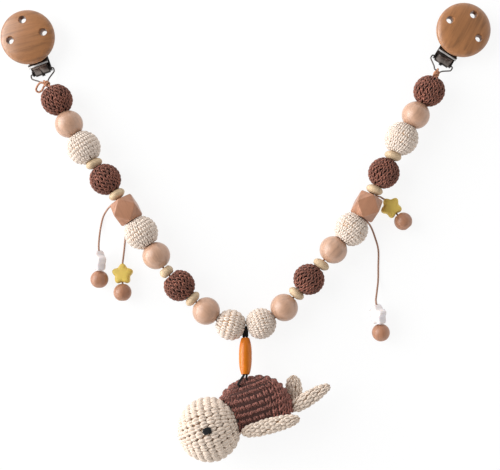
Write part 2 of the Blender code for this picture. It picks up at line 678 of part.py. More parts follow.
def bail_points(place):
    """Bent wire: from a lug hole out and round to the knot, and back to the other lug."""
    half = BAIL_WIDTH / 2
    rise = BAIL_TIP_Z - BAIL_PIVOT_Z
    inside = BASE_WIDTH / 2 - SHEET - CLEARANCE
    # distance along, distance out and rise of the wire's bends, as shares
    bend_shares = ((0.00, 0.94, 0.00), (0.05, 1.00, 0.03), (0.30, 1.00, 0.27), (0.42, 0.90, 0.40),
                   (0.78, 0.42, 0.80), (0.96, 0.27, 0.96), (1.00, 0.13, 1.00), (1.00, 0.00, 1.00))
    reach = BAIL_REACH - BAIL_PIVOT_X
    one = [Vector((BAIL_PIVOT_X, inside, BAIL_PIVOT_Z))]
    for out, wide, high in bend_shares:
        one.append(Vector((BAIL_PIVOT_X + out * reach, wide * half, BAIL_PIVOT_Z + high * rise)))
    other = [Vector((p.x, -p.y, p.z)) for p in reversed(one[:-1])]
    return [place @ p for p in smooth_path(one + other, 2 * WIRE_DIAMETER)]


def build_clip(side):
    place = clip_place(side)
    tip = knot_frame(side)[0]
    tube(f"{side}_clip_bail", bail_points(place), WIRE_DIAMETER, CLIP_STEEL,
         pivot(f"{side}_bail_pivot", tip))
    base_pivot = pivot(f"{side}_base_pivot", place @ Vector((BAIL_PIVOT_X, 0.0, BAIL_PIVOT_Z)))
    build_base(side, place, base_pivot)
    build_pad(side, place, base_pivot)
    lever_pivot = pivot(f"{side}_lever_pivot", place @ Vector((PIVOT_X, 0.0, PIVOT_Z)))
    build_lever(side, place, lever_pivot)
    build_disc(side, place, lever_pivot)


def facet_exit(side, inner):
    """Where a side cord leaves the faceted bead, beside the string, on the bead's inner or outer end."""
    junctions = ARMS[side][3]
    index = ARMS[side][0].index("facet_bead")
    return junctions[index if inner else index + 1]


def side_frame(side, tail):
    """The cord's points, and the centres and axis of the tail's star bead and end bead."""
    inner = (side, tail) in (("left", "short"), ("right", "long"))
    start = facet_exit(side, inner)
    table = Vector((start.x, start.y, 0.0))
    route = [table + Vector(spot) for spot in SIDE_ROUTES[side, tail]]
    heading, rise = STAR_AIMS[side, tail][:2]
    level = math.cos(math.radians(rise))
    axis = heading_vector(heading) * level + Vector((0.0, 0.0, math.sin(math.radians(rise))))
    star = route[-1] + axis * (STAR_POINT_LEAD + STAR_RADIUS)
    waist = STAR_RADIUS * (1.0 - STAR_WAIST_SHARE) / (1.0 + STAR_WAIST_SHARE)
    bead = star + axis * (waist + END_BEAD_GAP + END_BEAD_HALF_LENGTH)
    return start, route, star, bead, axis


def star_mesh(name):
    """A soft five-point star, flat in XZ, with its first point at -Z."""
    mesh = bpy.data.meshes.new(name)
    form = bmesh.new()
    corners = []
    mean = STAR_RADIUS / (1.0 + STAR_WAIST_SHARE)
    for step in range(20):
        angle = math.radians(18.0 * step)
        reach = mean * (1.0 + STAR_WAIST_SHARE * math.cos(5 * angle))
        corners.append(form.verts.new((reach * math.sin(angle), -STAR_THICKNESS / 2,
                                       -reach * math.cos(angle))))
    face = form.faces.new(corners)
    grown = bmesh.ops.extrude_face_region(form, geom=[face])
    lifted = [g for g in grown["geom"] if isinstance(g, bmesh.types.BMVert)]
    bmesh.ops.translate(form, verts=lifted, vec=(0.0, STAR_THICKNESS, 0.0))
    bmesh.ops.recalc_face_normals(form, faces=form.faces)
    form.to_mesh(mesh)
    form.free()
    return mesh


def build_star(name, colour, centre, heading, roll, empty):
    surface = WHITE_SILICONE if colour == "white" else YELLOW_SILICONE
    place = along(heading, centre) @ Matrix.Rotation(math.radians(roll), 4, "Z")
    star = mesh_piece(name, star_mesh(name), surface, place, empty, smooth=False)
    soften = star.modifiers.new("soft_edge", "BEVEL")
    soften.width = STAR_EDGE
    soften.segments = 1
    soften.limit_method = "ANGLE"
    soften.angle_limit = math.radians(60.0)
    reach = STAR_RADIUS + OVERRUN
    cut(star, rod(name + "_drill", STAR_BORE_RADIUS, (0.0, 0.0, -reach), (0.0, 0.0, reach),
                  surface, place, cutter=True, sides=8))


def build_tail(side, tail):
    """One free end of a side cord, with its star bead and its end bead."""
    start, route, star, bead, heading = side_frame(side, tail)
    roll, colour = STAR_AIMS[side, tail][2:]
    empty = pivot(f"{side}_{tail}_tail_pivot", start)
    ends = [star - heading * STAR_RADIUS / 2, star + heading * STAR_RADIUS / 2, bead,
            bead + heading * END_BEAD_HALF_LENGTH]
    path = smooth_path(route + ends, 2.5 * SIDE_CORD_DIAMETER)
    tube(f"{side}_{tail}_tail_cord", path, SIDE_CORD_DIAMETER, TAN_CORD, empty)
    build_star(f"{side}_{colour}_star", colour, star, heading, roll,
               pivot(f"{side}_{colour}_star_pivot", star))
    outline = bead_outline(END_BEAD_RADIUS, END_BEAD_HALF_LENGTH, END_BEAD_RIM, SPACER_BORE_RADIUS, 5)
    turned(f"{side}_{tail}_tail_end_bead", outline, 12, BEECH, along(heading, bead),
           pivot(f"{side}_{tail}_end_bead_pivot", bead))


def long_bead_frame():
    """Centre and axis of the long bead below the middle of the chain."""
    slope = math.radians(LONG_BEAD_SLOPE)
    axis = Vector((0.0, -math.cos(slope), math.sin(slope)))
    centre = Vector((MIDDLE_X - STRAND_OFFSET / 2, MIDDLE_Y - LONG_BEAD_DROP, LONG_BEAD_Z))
    return centre, axis


def build_middle_pendant():
    """Black cord looped over the string, two strands through the long bead, both tied to the turtle."""
    centre, axis = long_bead_frame()
    middle = Vector((MIDDLE_X, MIDDLE_Y, STRING_Z))
    reach = axis * (LONG_BEAD_HALF_LENGTH + CLEARANCE)
    top, bottom = centre - reach, centre + reach
    left = Vector((-STRAND_OFFSET, 0.0, 0.0))
    loop = (STRING_DIAMETER + BLACK_CORD_DIAMETER) / 2 + CLEARANCE
    over = [middle + Vector((0.0, loop * math.cos(math.radians(a)), loop * math.sin(math.radians(a))))
            for a in (-110.0, -80.0, -40.0, 0.0, 40.0, 80.0, 110.0)]
    shoulder = top - axis * (STRAND_OFFSET + BLACK_CORD_DIAMETER)
    down_left = [shoulder + left, top + left, centre + left, bottom + left]
    down_right = [shoulder - left, top - left, centre - left, bottom - left]
    left_hole, right_hole = shell_holes()
    crest = shell_place() @ (Vector(STRAND_CREST_SHARE) * shell_size())
    route = [*reversed(left_hole), crest, *reversed(down_left), *reversed(over), *down_right,
             *right_hole[1:]]
    tube("pendant_cord", smooth_path(route, 2.2 * BLACK_CORD_DIAMETER), BLACK_CORD_DIAMETER, BLACK_CORD,
         pivot("pendant_pivot", middle))
    outline = bead_outline(LONG_BEAD_RADIUS, LONG_BEAD_HALF_LENGTH, LONG_BEAD_RIM, LONG_BEAD_BORE, 10,
                           fullness=2.3)
    turned("long_amber_bead", outline, 16, AMBER_LACQUER, along(axis, centre),
           pivot("long_bead_pivot", centre))


def turtle_place():
    """The turtle's frame: origin level with its head's middle, over the middle of its belly."""
    height = eye_seat() + CLEARANCE + EYE_PROUD
    spot = Vector((MIDDLE_X + TURTLE_X, MIDDLE_Y - TURTLE_DROP, height))
    return Matrix.Translation(spot) @ Matrix.Rotation(math.radians(TURTLE_HEADING), 4, "Z")


def eye_seat():
    """How far from the head's middle plane its side lies under each eye."""
    return math.sqrt(HEAD_RADIUS ** 2 - EYE_BACK ** 2 - EYE_UP ** 2)


def shell_place():
    """The shell's frame: its side lies as low as the head's."""
    return turtle_place() @ Matrix.Translation((0.0, 0.0, -HEAD_PROUD))


def shell_size():
    return Vector((SHELL_HALF_LENGTH, SHELL_HEIGHT, SHELL_HALF_WIDTH))


def shell_holes():
    """For each strand, a point above the shell, the mouth of its hole and the hole's inner end."""
    holes = []
    for along_share, up_share in STRAND_SPOT_SHARES:
        used = abs(along_share) ** SHELL_FULLNESS + up_share ** SHELL_FULLNESS
        side = (1.0 - used) ** (1.0 / SHELL_FULLNESS)
        mouth = Vector((along_share, up_share, side)) * shell_size()
        slope = SHELL_FULLNESS - 1.0
        inward = Vector((math.copysign(abs(along_share) ** slope, -along_share) / SHELL_HALF_LENGTH,
                         -up_share ** slope / SHELL_HEIGHT,
                         -side ** slope / SHELL_HALF_WIDTH)).normalized()
        spots = (mouth - inward * STRAND_LEAD, mouth, mouth + inward * STRAND_DEPTH)
        holes.append([shell_place() @ spot for spot in spots])
    return holes


def shell_mesh(name, grow):
    """A domed body with a nearly flat belly: a ball swollen towards a box, its poles up and down."""
    mesh = bpy.data.meshes.new(name)
    form = bmesh.new()
    bmesh.ops.create_uvsphere(form, u_segments=20, v_segments=12, radius=1.0)
    for vertex in form.verts:
        along_body, side, back = vertex.co
        total = sum(abs(c) ** SHELL_FULLNESS for c in (along_body, side, back))
        size = total ** (-1.0 / SHELL_FULLNESS)
        height = SHELL_HEIGHT if back > 0.0 else BELLY_BULGE
        vertex.co = (along_body * size * (SHELL_HALF_LENGTH + grow), back * size * (height + grow),
                     -side * size * (SHELL_HALF_WIDTH + grow))
    bmesh.ops.recalc_face_normals(form, faces=form.faces)
    form.to_mesh(mesh)
    form.free()
    return mesh


def ball_mesh(name, radius, around, down):
    mesh = bpy.data.meshes.new(name)
    form = bmesh.new()
    bmesh.ops.create_uvsphere(form, u_segments=around, v_segments=down, radius=radius)
    form.to_mesh(mesh)
    form.free()
    return mesh


def flipper_mesh(name, length, half_width, half_thickness, tip_share):
    """A flat teardrop along X, from its base at the origin."""
    mesh = bpy.data.meshes.new(name)
    form = bmesh.new()
    bmesh.ops.create_uvsphere(form, u_segments=12, v_segments=9, radius=1.0)
    for vertex in form.verts:
        wide, thick, forward = vertex.co
        share = (forward + 1.0) / 2
        taper = 1.0 + (tip_share - 1.0) * share
        taper *= (1.0 - abs(forward) ** FLIPPER_FULLNESS) ** (1.0 / FLIPPER_FULLNESS)
        taper /= max(math.hypot(wide, thick), MERGE)
        vertex.co = (share * length, wide * half_width * taper, -thick * half_thickness * taper)
    bmesh.ops.recalc_face_normals(form, faces=form.faces)
    form.to_mesh(mesh)
    form.free()
    return mesh


def build_turtle():
    place = turtle_place()
    empty = pivot("turtle_pivot", long_bead_frame()[0]
                  + long_bead_frame()[1] * (LONG_BEAD_HALF_LENGTH + CLEARANCE))
    head_place = place @ Matrix.Translation((-HEAD_FORWARD, HEAD_UP, 0.0))
    shell_frame = shell_place()
    shell = mesh_piece("turtle_shell", shell_mesh("turtle_shell", 0.0), BROWN_COTTON, shell_frame, empty)
    head = mesh_piece("turtle_head", ball_mesh("turtle_head", HEAD_RADIUS, 20, 14), CREAM_COTTON,
                      head_place, empty)
    head_room = mesh_piece("head_room", ball_mesh("head_room", HEAD_RADIUS + CLEARANCE, 20, 14),
                           CREAM_COTTON, head_place, cutter=True)
    shell_room = mesh_piece("shell_room", shell_mesh("shell_room", CLEARANCE), BROWN_COTTON, shell_frame,
                            cutter=True)
    cut(shell, head_room)
    for hole in shell_holes():
        deep = hole[2] + (hole[2] - hole[1]).normalized() * CLEARANCE
        cut(shell, rod("strand_hole", BLACK_CORD_DIAMETER / 2 + CLEARANCE, hole[0], deep, BROWN_COTTON,
                       Matrix.Identity(4), cutter=True, sides=8))
    for name, (base_share, tip_share, wide_share, thick_share, end_share) in FLIPPER_SHARES.items():
        base, tip = Vector(base_share) * shell_size(), Vector(tip_share) * shell_size()
        turn = (tip - base).to_track_quat("X", "Z").to_matrix().to_4x4()
        mesh = flipper_mesh(name, (tip - base).length, wide_share * SHELL_HALF_WIDTH,
                            thick_share * SHELL_HALF_WIDTH, end_share)
        flipper_place = shell_frame @ Matrix.Translation(base) @ turn
        flipper = mesh_piece(name, mesh, CREAM_COTTON, flipper_place, empty)
        cut(flipper, shell_room, head_room)
    build_eyes(head, head_place, empty)


def build_eyes(head, head_place, empty):
    """Both eyes on one black thread through the head."""
    place = head_place @ Matrix.Translation((EYE_BACK, EYE_UP, 0.0))
    outer = eye_seat() + CLEARANCE + EYE_PROUD
    inner = eye_seat() - EYE_PROUD
    eyes = rod("turtle_eyes", EYE_THREAD_RADIUS, (0.0, 0.0, -inner), (0.0, 0.0, inner), BLACK_YARN,
               place, empty, sides=8)
    drill = rod("eye_drill", EYE_THREAD_RADIUS + CLEARANCE, (0.0, 0.0, -outer - OVERRUN),
                (0.0, 0.0, outer + OVERRUN), BLACK_YARN, place, cutter=True, sides=8)
    cut(head, drill)
    for way in (-1, 1):
        seat = inner - CLEARANCE
        disc = rod(f"eye_disc_{way}", EYE_RADIUS, (0.0, 0.0, way * (inner - EYE_PROUD)),
                   (0.0, 0.0, way * outer), BLACK_YARN, place, cutter=True)
        recess = rod(f"eye_recess_{way}", EYE_RADIUS + CLEARANCE, (0.0, 0.0, way * (seat - EYE_PROUD)),
                     (0.0, 0.0, way * (outer + OVERRUN)), BLACK_YARN, place, cutter=True)
        join(eyes, disc)
        cut(head, recess)


build_arm("left")
build_arm("right")
build_string()
build_clip("left")
build_clip("right")
for pendant_side in ("left", "right"):
    for pendant_tail in ("long", "short"):
        build_tail(pendant_side, pendant_tail)
build_middle_pendant()
build_turtle()
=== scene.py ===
"""Pram chain: crocheted and wooden beads on a waxed string between two clips, with pendants and a turtle."""

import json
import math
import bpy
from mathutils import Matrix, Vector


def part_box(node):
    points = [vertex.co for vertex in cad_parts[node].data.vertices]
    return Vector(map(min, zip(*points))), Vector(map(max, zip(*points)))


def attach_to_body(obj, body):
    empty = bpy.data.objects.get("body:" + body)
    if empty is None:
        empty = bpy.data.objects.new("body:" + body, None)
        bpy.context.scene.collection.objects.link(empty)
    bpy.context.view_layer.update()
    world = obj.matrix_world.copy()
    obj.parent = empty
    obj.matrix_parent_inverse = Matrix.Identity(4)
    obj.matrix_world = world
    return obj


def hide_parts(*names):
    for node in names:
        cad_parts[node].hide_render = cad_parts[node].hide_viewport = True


bl_info = {
    "name": "Pram Chain",
    "version": (1, 0, 0),
    "blender": (4, 5, 0),
    "location": "3D View > Sidebar > Pram Chain",
    "description": "Dresses the packed pram chain in wood, crocheted cotton, silicone and steel",
    "category": "Object",
}

import bpy
import numpy as np
from mathutils import Matrix, Vector

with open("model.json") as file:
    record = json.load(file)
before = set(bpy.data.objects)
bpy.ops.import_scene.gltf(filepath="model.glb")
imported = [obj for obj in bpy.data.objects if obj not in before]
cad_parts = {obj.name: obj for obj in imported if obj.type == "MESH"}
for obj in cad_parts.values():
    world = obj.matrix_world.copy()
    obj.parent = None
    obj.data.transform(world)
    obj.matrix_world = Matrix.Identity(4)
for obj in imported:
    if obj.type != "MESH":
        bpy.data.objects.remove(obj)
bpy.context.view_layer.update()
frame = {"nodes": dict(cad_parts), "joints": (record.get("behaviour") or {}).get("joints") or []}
JOINTS = {joint["name"]: joint for joint in frame["joints"]}
BEADS = sorted(name for name in frame["nodes"] if name.split("_")[1].isdigit())
MM = 0.001
SIDES = ("left", "right")
WHITE = (1.0, 1.0, 1.0, 1.0)

# The tables below are in millimetres and degrees.
# Each side cord's route, from the string to its star: left and right, long and short
SIDE_ROUTES = {
    ("left", "long"): ((-81.953, 19.039, 10.2), (-85.353, 16.839, 9.0), (-89.353, 14.039, 4.8),
                       (-93.053, 8.939, 1.3), (-94.753, 2.439, 1.0), (-95.153, -4.161, 4.0),
                       (-94.953, -9.761, 7.6), (-94.753, -12.601, 8.21)),
    ("left", "short"): ((-74.004, 5.271, 10.2), (-76.104, 3.171, 7.6), (-77.804, -0.329, 3.0),
                        (-78.804, -6.129, 0.9), (-79.504, -12.929, 0.9), (-79.904, -18.329, 2.2),
                        (-80.124, -21.209, 3.24)),
    ("right", "long"): ((75.228, 7.438, 10.2), (78.428, 5.538, 7.8), (81.628, 1.938, 3.4),
                        (84.328, -4.062, 1.0), (86.728, -12.762, 0.8), (86.728, -24.062, 0.8),
                        (86.528, -32.862, 1.4), (85.228, -39.862, 4.8), (84.228, -44.862, 7.2),
                        (84.398, -47.392, 7.68)),
    ("right", "short"): ((82.654, 21.903, 10.2), (85.054, 21.803, 8.8), (87.454, 21.503, 5.6),
                         (89.154, 20.703, 3.6), (89.884, 20.433, 3.21)),
}
STAR_COLOURS = {"long": "white", "short": "yellow"}
STAR_ROLLS = {("left", "long"): 62.0, ("left", "short"): 0.0, ("right", "long"): 64.0, ("right", "short"): 0.0}
STAR_WAIST = 0.15
STAR_BORE = 0.95

# The black cord's route: out of the shell, up through the long bead, over the string and back
PENDANT_ROUTE = (
    (-2.907, -100.475, 20.119), (-4.089, -97.643, 22.685), (-4.562, -96.51, 23.711), (-3.475, -94.954, 22.053),
    (-2.186, -93.351, 19.991), (-1.04, -91.849, 17.78), (-0.959, -89.688, 17.035), (-0.968, -86.751, 16.207),
    (-1.013, -83.503, 15.345), (-1.04, -80.41, 14.5), (-1.04, -77.336, 13.619), (-1.04, -74.12, 12.696),
    (-1.04, -71.189, 11.856), (-1.04, -68.971, 11.22), (-1.04, -66.664, 10.558), (0.31, -64.291, 11.997),
    (0.31, -63.415, 12.074), (0.31, -62.408, 11.493), (0.31, -62.01, 10.4), (0.31, -62.408, 9.307),
    (0.31, -63.415, 8.726), (0.31, -64.291, 8.803), (0.76, -66.664, 10.558), (0.76, -68.971, 11.22),
    (0.76, -71.189, 11.856), (0.76, -74.12, 12.696), (0.76, -77.336, 13.619), (0.76, -80.41, 14.5),
    (0.764, -83.492, 15.383), (0.771, -86.723, 16.308), (0.772, -89.657, 17.15), (0.76, -91.849, 17.78),
    (0.583, -93.795, 18.366), (1.73, -97.538, 17.543),
)
# The whipping round both strands: its ends, its turns, its reach across and up, and its yarn
WHIPPING_ENDS = ((-0.14, -68.3, 11.05), (-0.14, -64.0, 10.5))
WHIPPING_TURNS = 5
WHIPPING_REACH = (1.55, 1.1)
WHIPPING_YARN = 0.9

# Each knot's turns and the room between them, and the loop in which the left one ends
KNOT_TURNS = {"left": (1.75, 0.1), "right": (2.5, 0.45)}
KNOT_LOOP = ((-131.6, 95.2, 9.2), (-134.3, 93.6, 7.6), (-135.9, 91.0, 5.6), (-134.6, 89.7, 4.6),
             (-132.4, 90.6, 5.0), (-130.9, 92.6, 6.4), (-129.6, 94.0, 7.4))

# Bead kinds: radius, half length along the string, rim round the bore, bore
BEAD_SIZES = {
    "cream_crochet": (10.4, 8.55, 2.6, 1.9),
    "brown_crochet": (10.4, 8.55, 2.6, 1.9),
    "beech_ball": (8.95, 8.4, 2.6, 1.9),
    "lens_spacer": (5.5, 2.85, 2.4, 1.5),
    "barrel_spacer": (4.6, 2.85, 3.0, 1.5),
    "end_bead": (5.8, 5.3, 2.3, 1.5),
    "long_amber_bead": (4.15, 11.6, 2.5, 2.0),
}
FACET_STRETCH = (1.03, 1.03, 1.14, 1.0)
TURNED_LINE = 0.06

# The covered balls: reach, most height, yarn for each millimetre of stitch, and how deep the core lies
BALL_REACH = {"brown": 10.2, "cream": 11.0, "middle": 10.1}
BALL_HEIGHT = 10.3
BALL_YARN = {"brown": 0.37, "cream": 0.51}
CORE_DEPTH = {"brown": 1.4, "cream": 0.7}
# How far a cover may bulge towards a neighbour of each kind, where the neighbour isn't round
SPARE_ROOM = {"facet_bead": 1.1, "": 0.6}

# The clip in its own frame, X towards the string: its disc, vents, flange, pressed panels and bent wire
DISC_RADIUS, DISC_BOTTOM, DISC_EDGE, DISC_DOME, DISC_FULLNESS = 17.5, 7.4, 1.4, 4.6, 2.4
VENT_CIRCLE = 11.0
VENT_TURNS = {"left": (84.4, 174.4, 264.4), "right": (90.0, 180.0, 270.0)}
VENT_DRILL = ((0.0, 20.0), (4.4, 20.0), (4.4, 14.7), (2.85, 13.15), (2.5, 12.45), (1.4, 6.0), (0.0, 6.0))
DISC_GRAIN = {"left": 15.0, "right": 62.0}
# The flange strip, from and to along X, that is painted near-white as a painted highlight
HIGHLIT_STRIP = (17.95, 18.95)
FLANGE_HEIGHT = 6.5
# The pressed panels' faces, found by where they start and by their area, get a paler steel as a painted highlight
PANEL_START = 16.5
PANEL_AREA = (12.0, 20.0)
HALF_BAIL = ((22.0, 5.5, 2.0), (22.0, 7.285, 2.0), (22.425, 7.75, 2.12), (24.55, 7.75, 3.08), (25.57, 6.975, 3.6),
             (28.63, 3.255, 5.2), (30.16, 2.0925, 5.84), (30.5, 1.0075, 6.0), (30.5, 0.0, 6.0))

# The turtle's frame: X to its tail, Y up its back, Z out of its side. The shell lies lower than the head
TURTLE_PLACE = Matrix(((0.95106, -0.30902, 0.0, 7.81 * MM), (0.30902, 0.95106, 0.0, -121.01 * MM),
                       (0.0, 0.0, 1.0, 20.69 * MM), (0.0, 0.0, 0.0, 1.0)))
SHELL_DROP = 5.6
SHELL_PLACE = TURTLE_PLACE @ Matrix.Translation((0.0, 0.0, -SHELL_DROP * MM))
SHELL_SIZE = (25.6, 28.4, 14.6)
SHELL_FULLNESS = 2.5
BELLY_BULGE = 1.0
HEAD_CENTRE = (-30.6, 5.1, 0.0)
HEAD_RADIUS = 20.2
EYE_SPOT = (0.6, 3.5, 19.886)
EYE_REACH = (2.75, 2.35)
# Flippers: base, tip, half width, half thickness and the tip's share of the width
FLIPPERS = {
    "near_front_flipper": ((-11.52, -1.59, 8.5), (26.19, -4.0, 8.5), 4.89, 3.07, 0.85),
    "far_front_flipper": ((-12.03, -1.59, -11.99), (19.97, -3.21, -11.99), 4.38, 2.77, 0.85),
    "near_back_flipper": ((22.02, 0.6, -1.99), (50.51, 7.81, -1.99), 5.2, 2.99, 0.62),
    "far_back_flipper": ((24.5, -0.99, -13.0), (30.31, 19.0, -13.0), 5.4, 2.77, 0.95),
}

# The two legs of a stitch: foot and top across, and how far the leg bows, in shares of its width
OPEN_LEGS = ((-0.05, -0.47, 0.0), (0.05, 0.47, 0.0))
PUFFED_LEGS = ((-0.09, -0.11, -0.16), (0.09, 0.11, 0.16))
SLANTED_PUFFS = ((-0.2, -0.04, -0.18), (0.04, 0.2, 0.18))
# A leg's rise: how far along it, up in shares of the row, out in shares of the strand's radius
LEG_RISE = ((0.0, -0.18, -0.90), (0.15, 0.08, 0.10), (0.36, 0.36, 0.62), (0.62, 0.64, 0.62), (0.88, 0.92, 0.10),
            (1.0, 1.12, -0.90))
# How deep the surface that stitches stand on lies under their tops, in shares of the yarn's thickness
STITCH_SINK = 0.81

# The stage in metres, and the room's light in shares of its strength
CAMERA_SPOT = (0.00281, -0.00311)
WINDOW_PLACE = (-0.84, 0.31, 0.60)
WINDOW_SIZE = 0.9
WALL_SHARE, CEILING_SHARE, LEFT_SHARE = 1.25, 0.12, 3.4


def linear(code):
    """An sRGB hex colour as linear numbers."""
    channels = [int(code[i:i + 2], 16) / 255.0 for i in (1, 3, 5)]
    return [c / 12.92 if c <= 0.04045 else ((c + 0.055) / 1.055) ** 2.4 for c in channels]


def shade(colour, by):
    """A colour darkened or lightened by a factor."""
    return tuple(min(1.0, c * by) for c in colour)


def size_property(name, text, default):
    return bpy.props.FloatProperty(name=name, description=text, default=default * MM, min=0.0,
                                   subtype="DISTANCE", unit="LENGTH", precision=5)


def colour_property(name, text, code):
    return bpy.props.FloatVectorProperty(name=name, description=text, default=linear(code), size=3,
                                         min=0.0, max=1.0, subtype="COLOR")


class PramChainSizes(bpy.types.PropertyGroup):
    string: size_property("String", "Diameter of the waxed main string", 1.3)
    side_cord: size_property("Side cord", "Diameter of the tan side cords", 1.2)
    black_cord: size_property("Black cord", "Diameter of the black cord that holds the turtle", 1.5)
    wire: size_property("Bail wire", "Diameter of the clips' bent wire", 0.9)
    ball_stitch: size_property("Ball stitch", "Width of a stitch on the covered balls", 3.0)
    ball_row: size_property("Ball row", "Height of a round on the covered balls", 2.5)
    toy_stitch: size_property("Turtle stitch", "Width of a stitch on the turtle", 4.3)
    toy_row: size_property("Turtle row", "Height of a round on the turtle", 4.2)
    star: size_property("Star", "Reach of the silicone stars' points", 6.9)
    star_thickness: size_property("Star thickness", "Thickness of the silicone stars", 7.0)
    soft_edge: size_property("Soft edge", "Rounding of the faceted beads' edges", 1.3)
    sheet_edge: size_property("Sheet edge", "Rounding of the pressed steel's edges", 0.14)
    pad_edge: size_property("Pad edge", "Rounding of the jaw pads' edges", 0.1)


class PramChainColours(bpy.types.PropertyGroup):
    disc_beech: colour_property("Disc beech", "Oiled beech of the clip discs", "#9F6C43")
    ball_beech: colour_property("Ball beech", "Raw beech of the plain balls", "#BE977E")
    facet_beech: colour_property("Facet beech", "Rosy beech of the faceted beads and end beads", "#AC7B5F")
    maple: colour_property("Maple", "Pale maple of the spacers", "#D0B796")
    brown_yarn: colour_property("Brown yarn", "Cotton of the brown balls", "#9E624F")
    shell_yarn: colour_property("Shell yarn", "Cotton of the turtle's shell", "#AA6C5F")
    cream_yarn: colour_property("Cream yarn", "Cotton of the cream balls", "#E6D6C8")
    cream_gap: colour_property("Cream gaps", "Shadowed fabric between the cream balls' stitches", "#C9A07A")
    turtle_yarn: colour_property("Turtle yarn", "Cotton of the turtle's head and flippers", "#E8D6C5")
    turtle_gap: colour_property("Turtle gaps", "Shadowed fabric between the turtle's cream stitches", "#B48C66")
    caramel: colour_property("Caramel cord", "Waxed cotton of the main string", "#CC8E6A")
    tan: colour_property("Tan cord", "Waxed cotton of the side cords", "#BE917A")
    black: colour_property("Black cord", "Waxed cotton of the pendant cord", "#080707")
    white_star: colour_property("White star", "White silicone", "#E9E2E2")
    yellow_star: colour_property("Yellow star", "Yellow silicone", "#E2C462")
    amber: colour_property("Amber lacquer", "Lacquer of the long bead", "#CB6E0C")
    steel: colour_property("Clip steel", "Dark nickel plating of the clips", "#4E4845")
    # A near-white copy of the plating: painted highlight on the flange strip
    worn_steel: colour_property("Highlit steel", "Plating worn bright on the flange", "#F2F0EE")
    # A paler copy of the plating: painted highlight on the pressed panels
    grey_steel: colour_property("Grey steel", "Plating of the pressed panels", "#8A817B")
    wire_steel: colour_property("Wire", "Plating of the bails' wire", "#5E5652")
    pad: colour_property("Jaw plastic", "White plastic of the jaw pads", "#ECECEA")


class PramChainStage(bpy.types.PropertyGroup):
    camera_height: bpy.props.FloatProperty(name="Camera height", description="Height of the camera over the table",
                                           default=0.55, min=0.1, subtype="DISTANCE", unit="LENGTH")
    focal: bpy.props.FloatProperty(name="Focal length", description="Focal length on a 36 mm sensor",
                                   default=60.44, min=10.0, subtype="DISTANCE_CAMERA", unit="CAMERA")
    key_power: bpy.props.FloatProperty(name="Window light", description="Power of the soft light from the left",
                                       default=8.5, min=0.0, subtype="POWER", unit="POWER")
    sky: bpy.props.FloatProperty(name="Room light", description="Strength of the light from all round",
                                 default=1.6, min=0.0)


# ---- placing and shaping


def only(thing):
    """Selects one object and makes it active."""
    bpy.ops.object.select_all(action="DESELECT")
    thing.select_set(True)
    bpy.context.view_layer.objects.active = thing


def edited(piece, operator, **settings):
    """Runs a mesh operator on all of a piece in edit mode."""
    only(piece)
    bpy.ops.object.mode_set(mode="EDIT")
    bpy.ops.mesh.select_all(action="SELECT")
    operator(**settings)
    bpy.ops.object.mode_set(mode="OBJECT")


def smoothed(piece, angle):
    """Shades a piece smooth where its faces meet at less than an angle."""
    only(piece)
    bpy.ops.object.shade_smooth_by_angle(angle=math.radians(angle))


def metres(points):
    """Points in millimetres as vectors in metres."""
    return [Vector(point) * MM for point in points]


def turned(angle, axis):
    return Matrix.Rotation(math.radians(angle), 4, axis)


def joint_place(name):
    return Vector(JOINTS[name]["pos_m"])


def joint_axis(name):
    return Vector(JOINTS[name]["axis"]).normalized()


def joint_frame(name):
    """A frame on a joint's axis, Z along it."""
    return along(joint_axis(name), joint_place(name))


def node_centre(node):
    low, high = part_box(node)
    return (low + high) / 2


def along(direction, centre):
    """A frame at a centre whose Z follows a direction."""
    return Matrix.Translation(centre) @ direction.to_track_quat("Z", "Y").to_matrix().to_4x4()


def bead_body(node):
    return "_".join(node.split("_")[:2])


def bead_kind(node):
    return "_".join(node.split("_")[2:])


def bead_place(node):
    """A threaded bead's frame: its centre, with Z away from the middle of the chain."""
    body = bead_body(node)
    inner = joint_place("right_14_bend" if body.endswith("_14") else body + "_bend")
    centre = node_centre(node)
    return along((centre - inner).normalized(), centre)


def clip_place(side):
    """A clip's frame on the table: origin under its disc's centre, X towards the string."""
    centre = node_centre(f"{side}_clip_disc")
    centre.z = 0.0
    ahead = joint_place(f"{side}_bail_swing") - centre
    return Matrix.Translation(centre) @ Matrix.Rotation(math.atan2(ahead.y, ahead.x), 4, "Z")


def set_down(piece, place):
    """Moves a finished piece to its place, with the place kept in its mesh."""
    only(piece)
    piece.matrix_world = place
    bpy.ops.object.transform_apply(location=True, rotation=True, scale=True)


def attach(piece, slot, body, node=None):
    """Parents a piece to the body that it rides on and hides the CAD node that it stands for; its slot is not
    used.
    """
    if node is not None:
        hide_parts(node)
    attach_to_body(piece, body)


def keep_grain(piece, grain_frame, seed):
    """Writes the piece's own coordinates on its points, X along the grain, for the wood to read."""
    places = np.empty(len(piece.data.vertices) * 3)
    piece.data.vertices.foreach_get("co", places)
    inverse = np.array(grain_frame.inverted())
    own = places.reshape(-1, 3) @ inverse[:3, :3].T + inverse[:3, 3]
    own += np.array((0.37, 0.11, 0.23)) * seed
    attribute = piece.data.attributes.new("own_place", "FLOAT_VECTOR", "POINT")
    attribute.data.foreach_set("vector", own.astype(np.float32).ravel())


def smooth_path(points, spacing):
    """Points at a spacing along a smooth curve through the given points."""
    points = [Vector(p) for p in points]
    ends = [2 * points[0] - points[1], *points, 2 * points[-1] - points[-2]]
    path = [points[0]]
    for before, start, end, after in zip(ends, ends[1:], ends[2:], ends[3:]):
        count = max(1, round((end - start).length / spacing))
        for step in range(1, count + 1):
            t = step / count
            path.append(0.5 * (2 * start + (end - before) * t
                               + (2 * before - 5 * start + 4 * end - after) * t * t
                               + (3 * start - before - 3 * end + after) * t ** 3))
    return path


def path_length(points):
    return sum((b - a).length for a, b in zip(points, points[1:]))


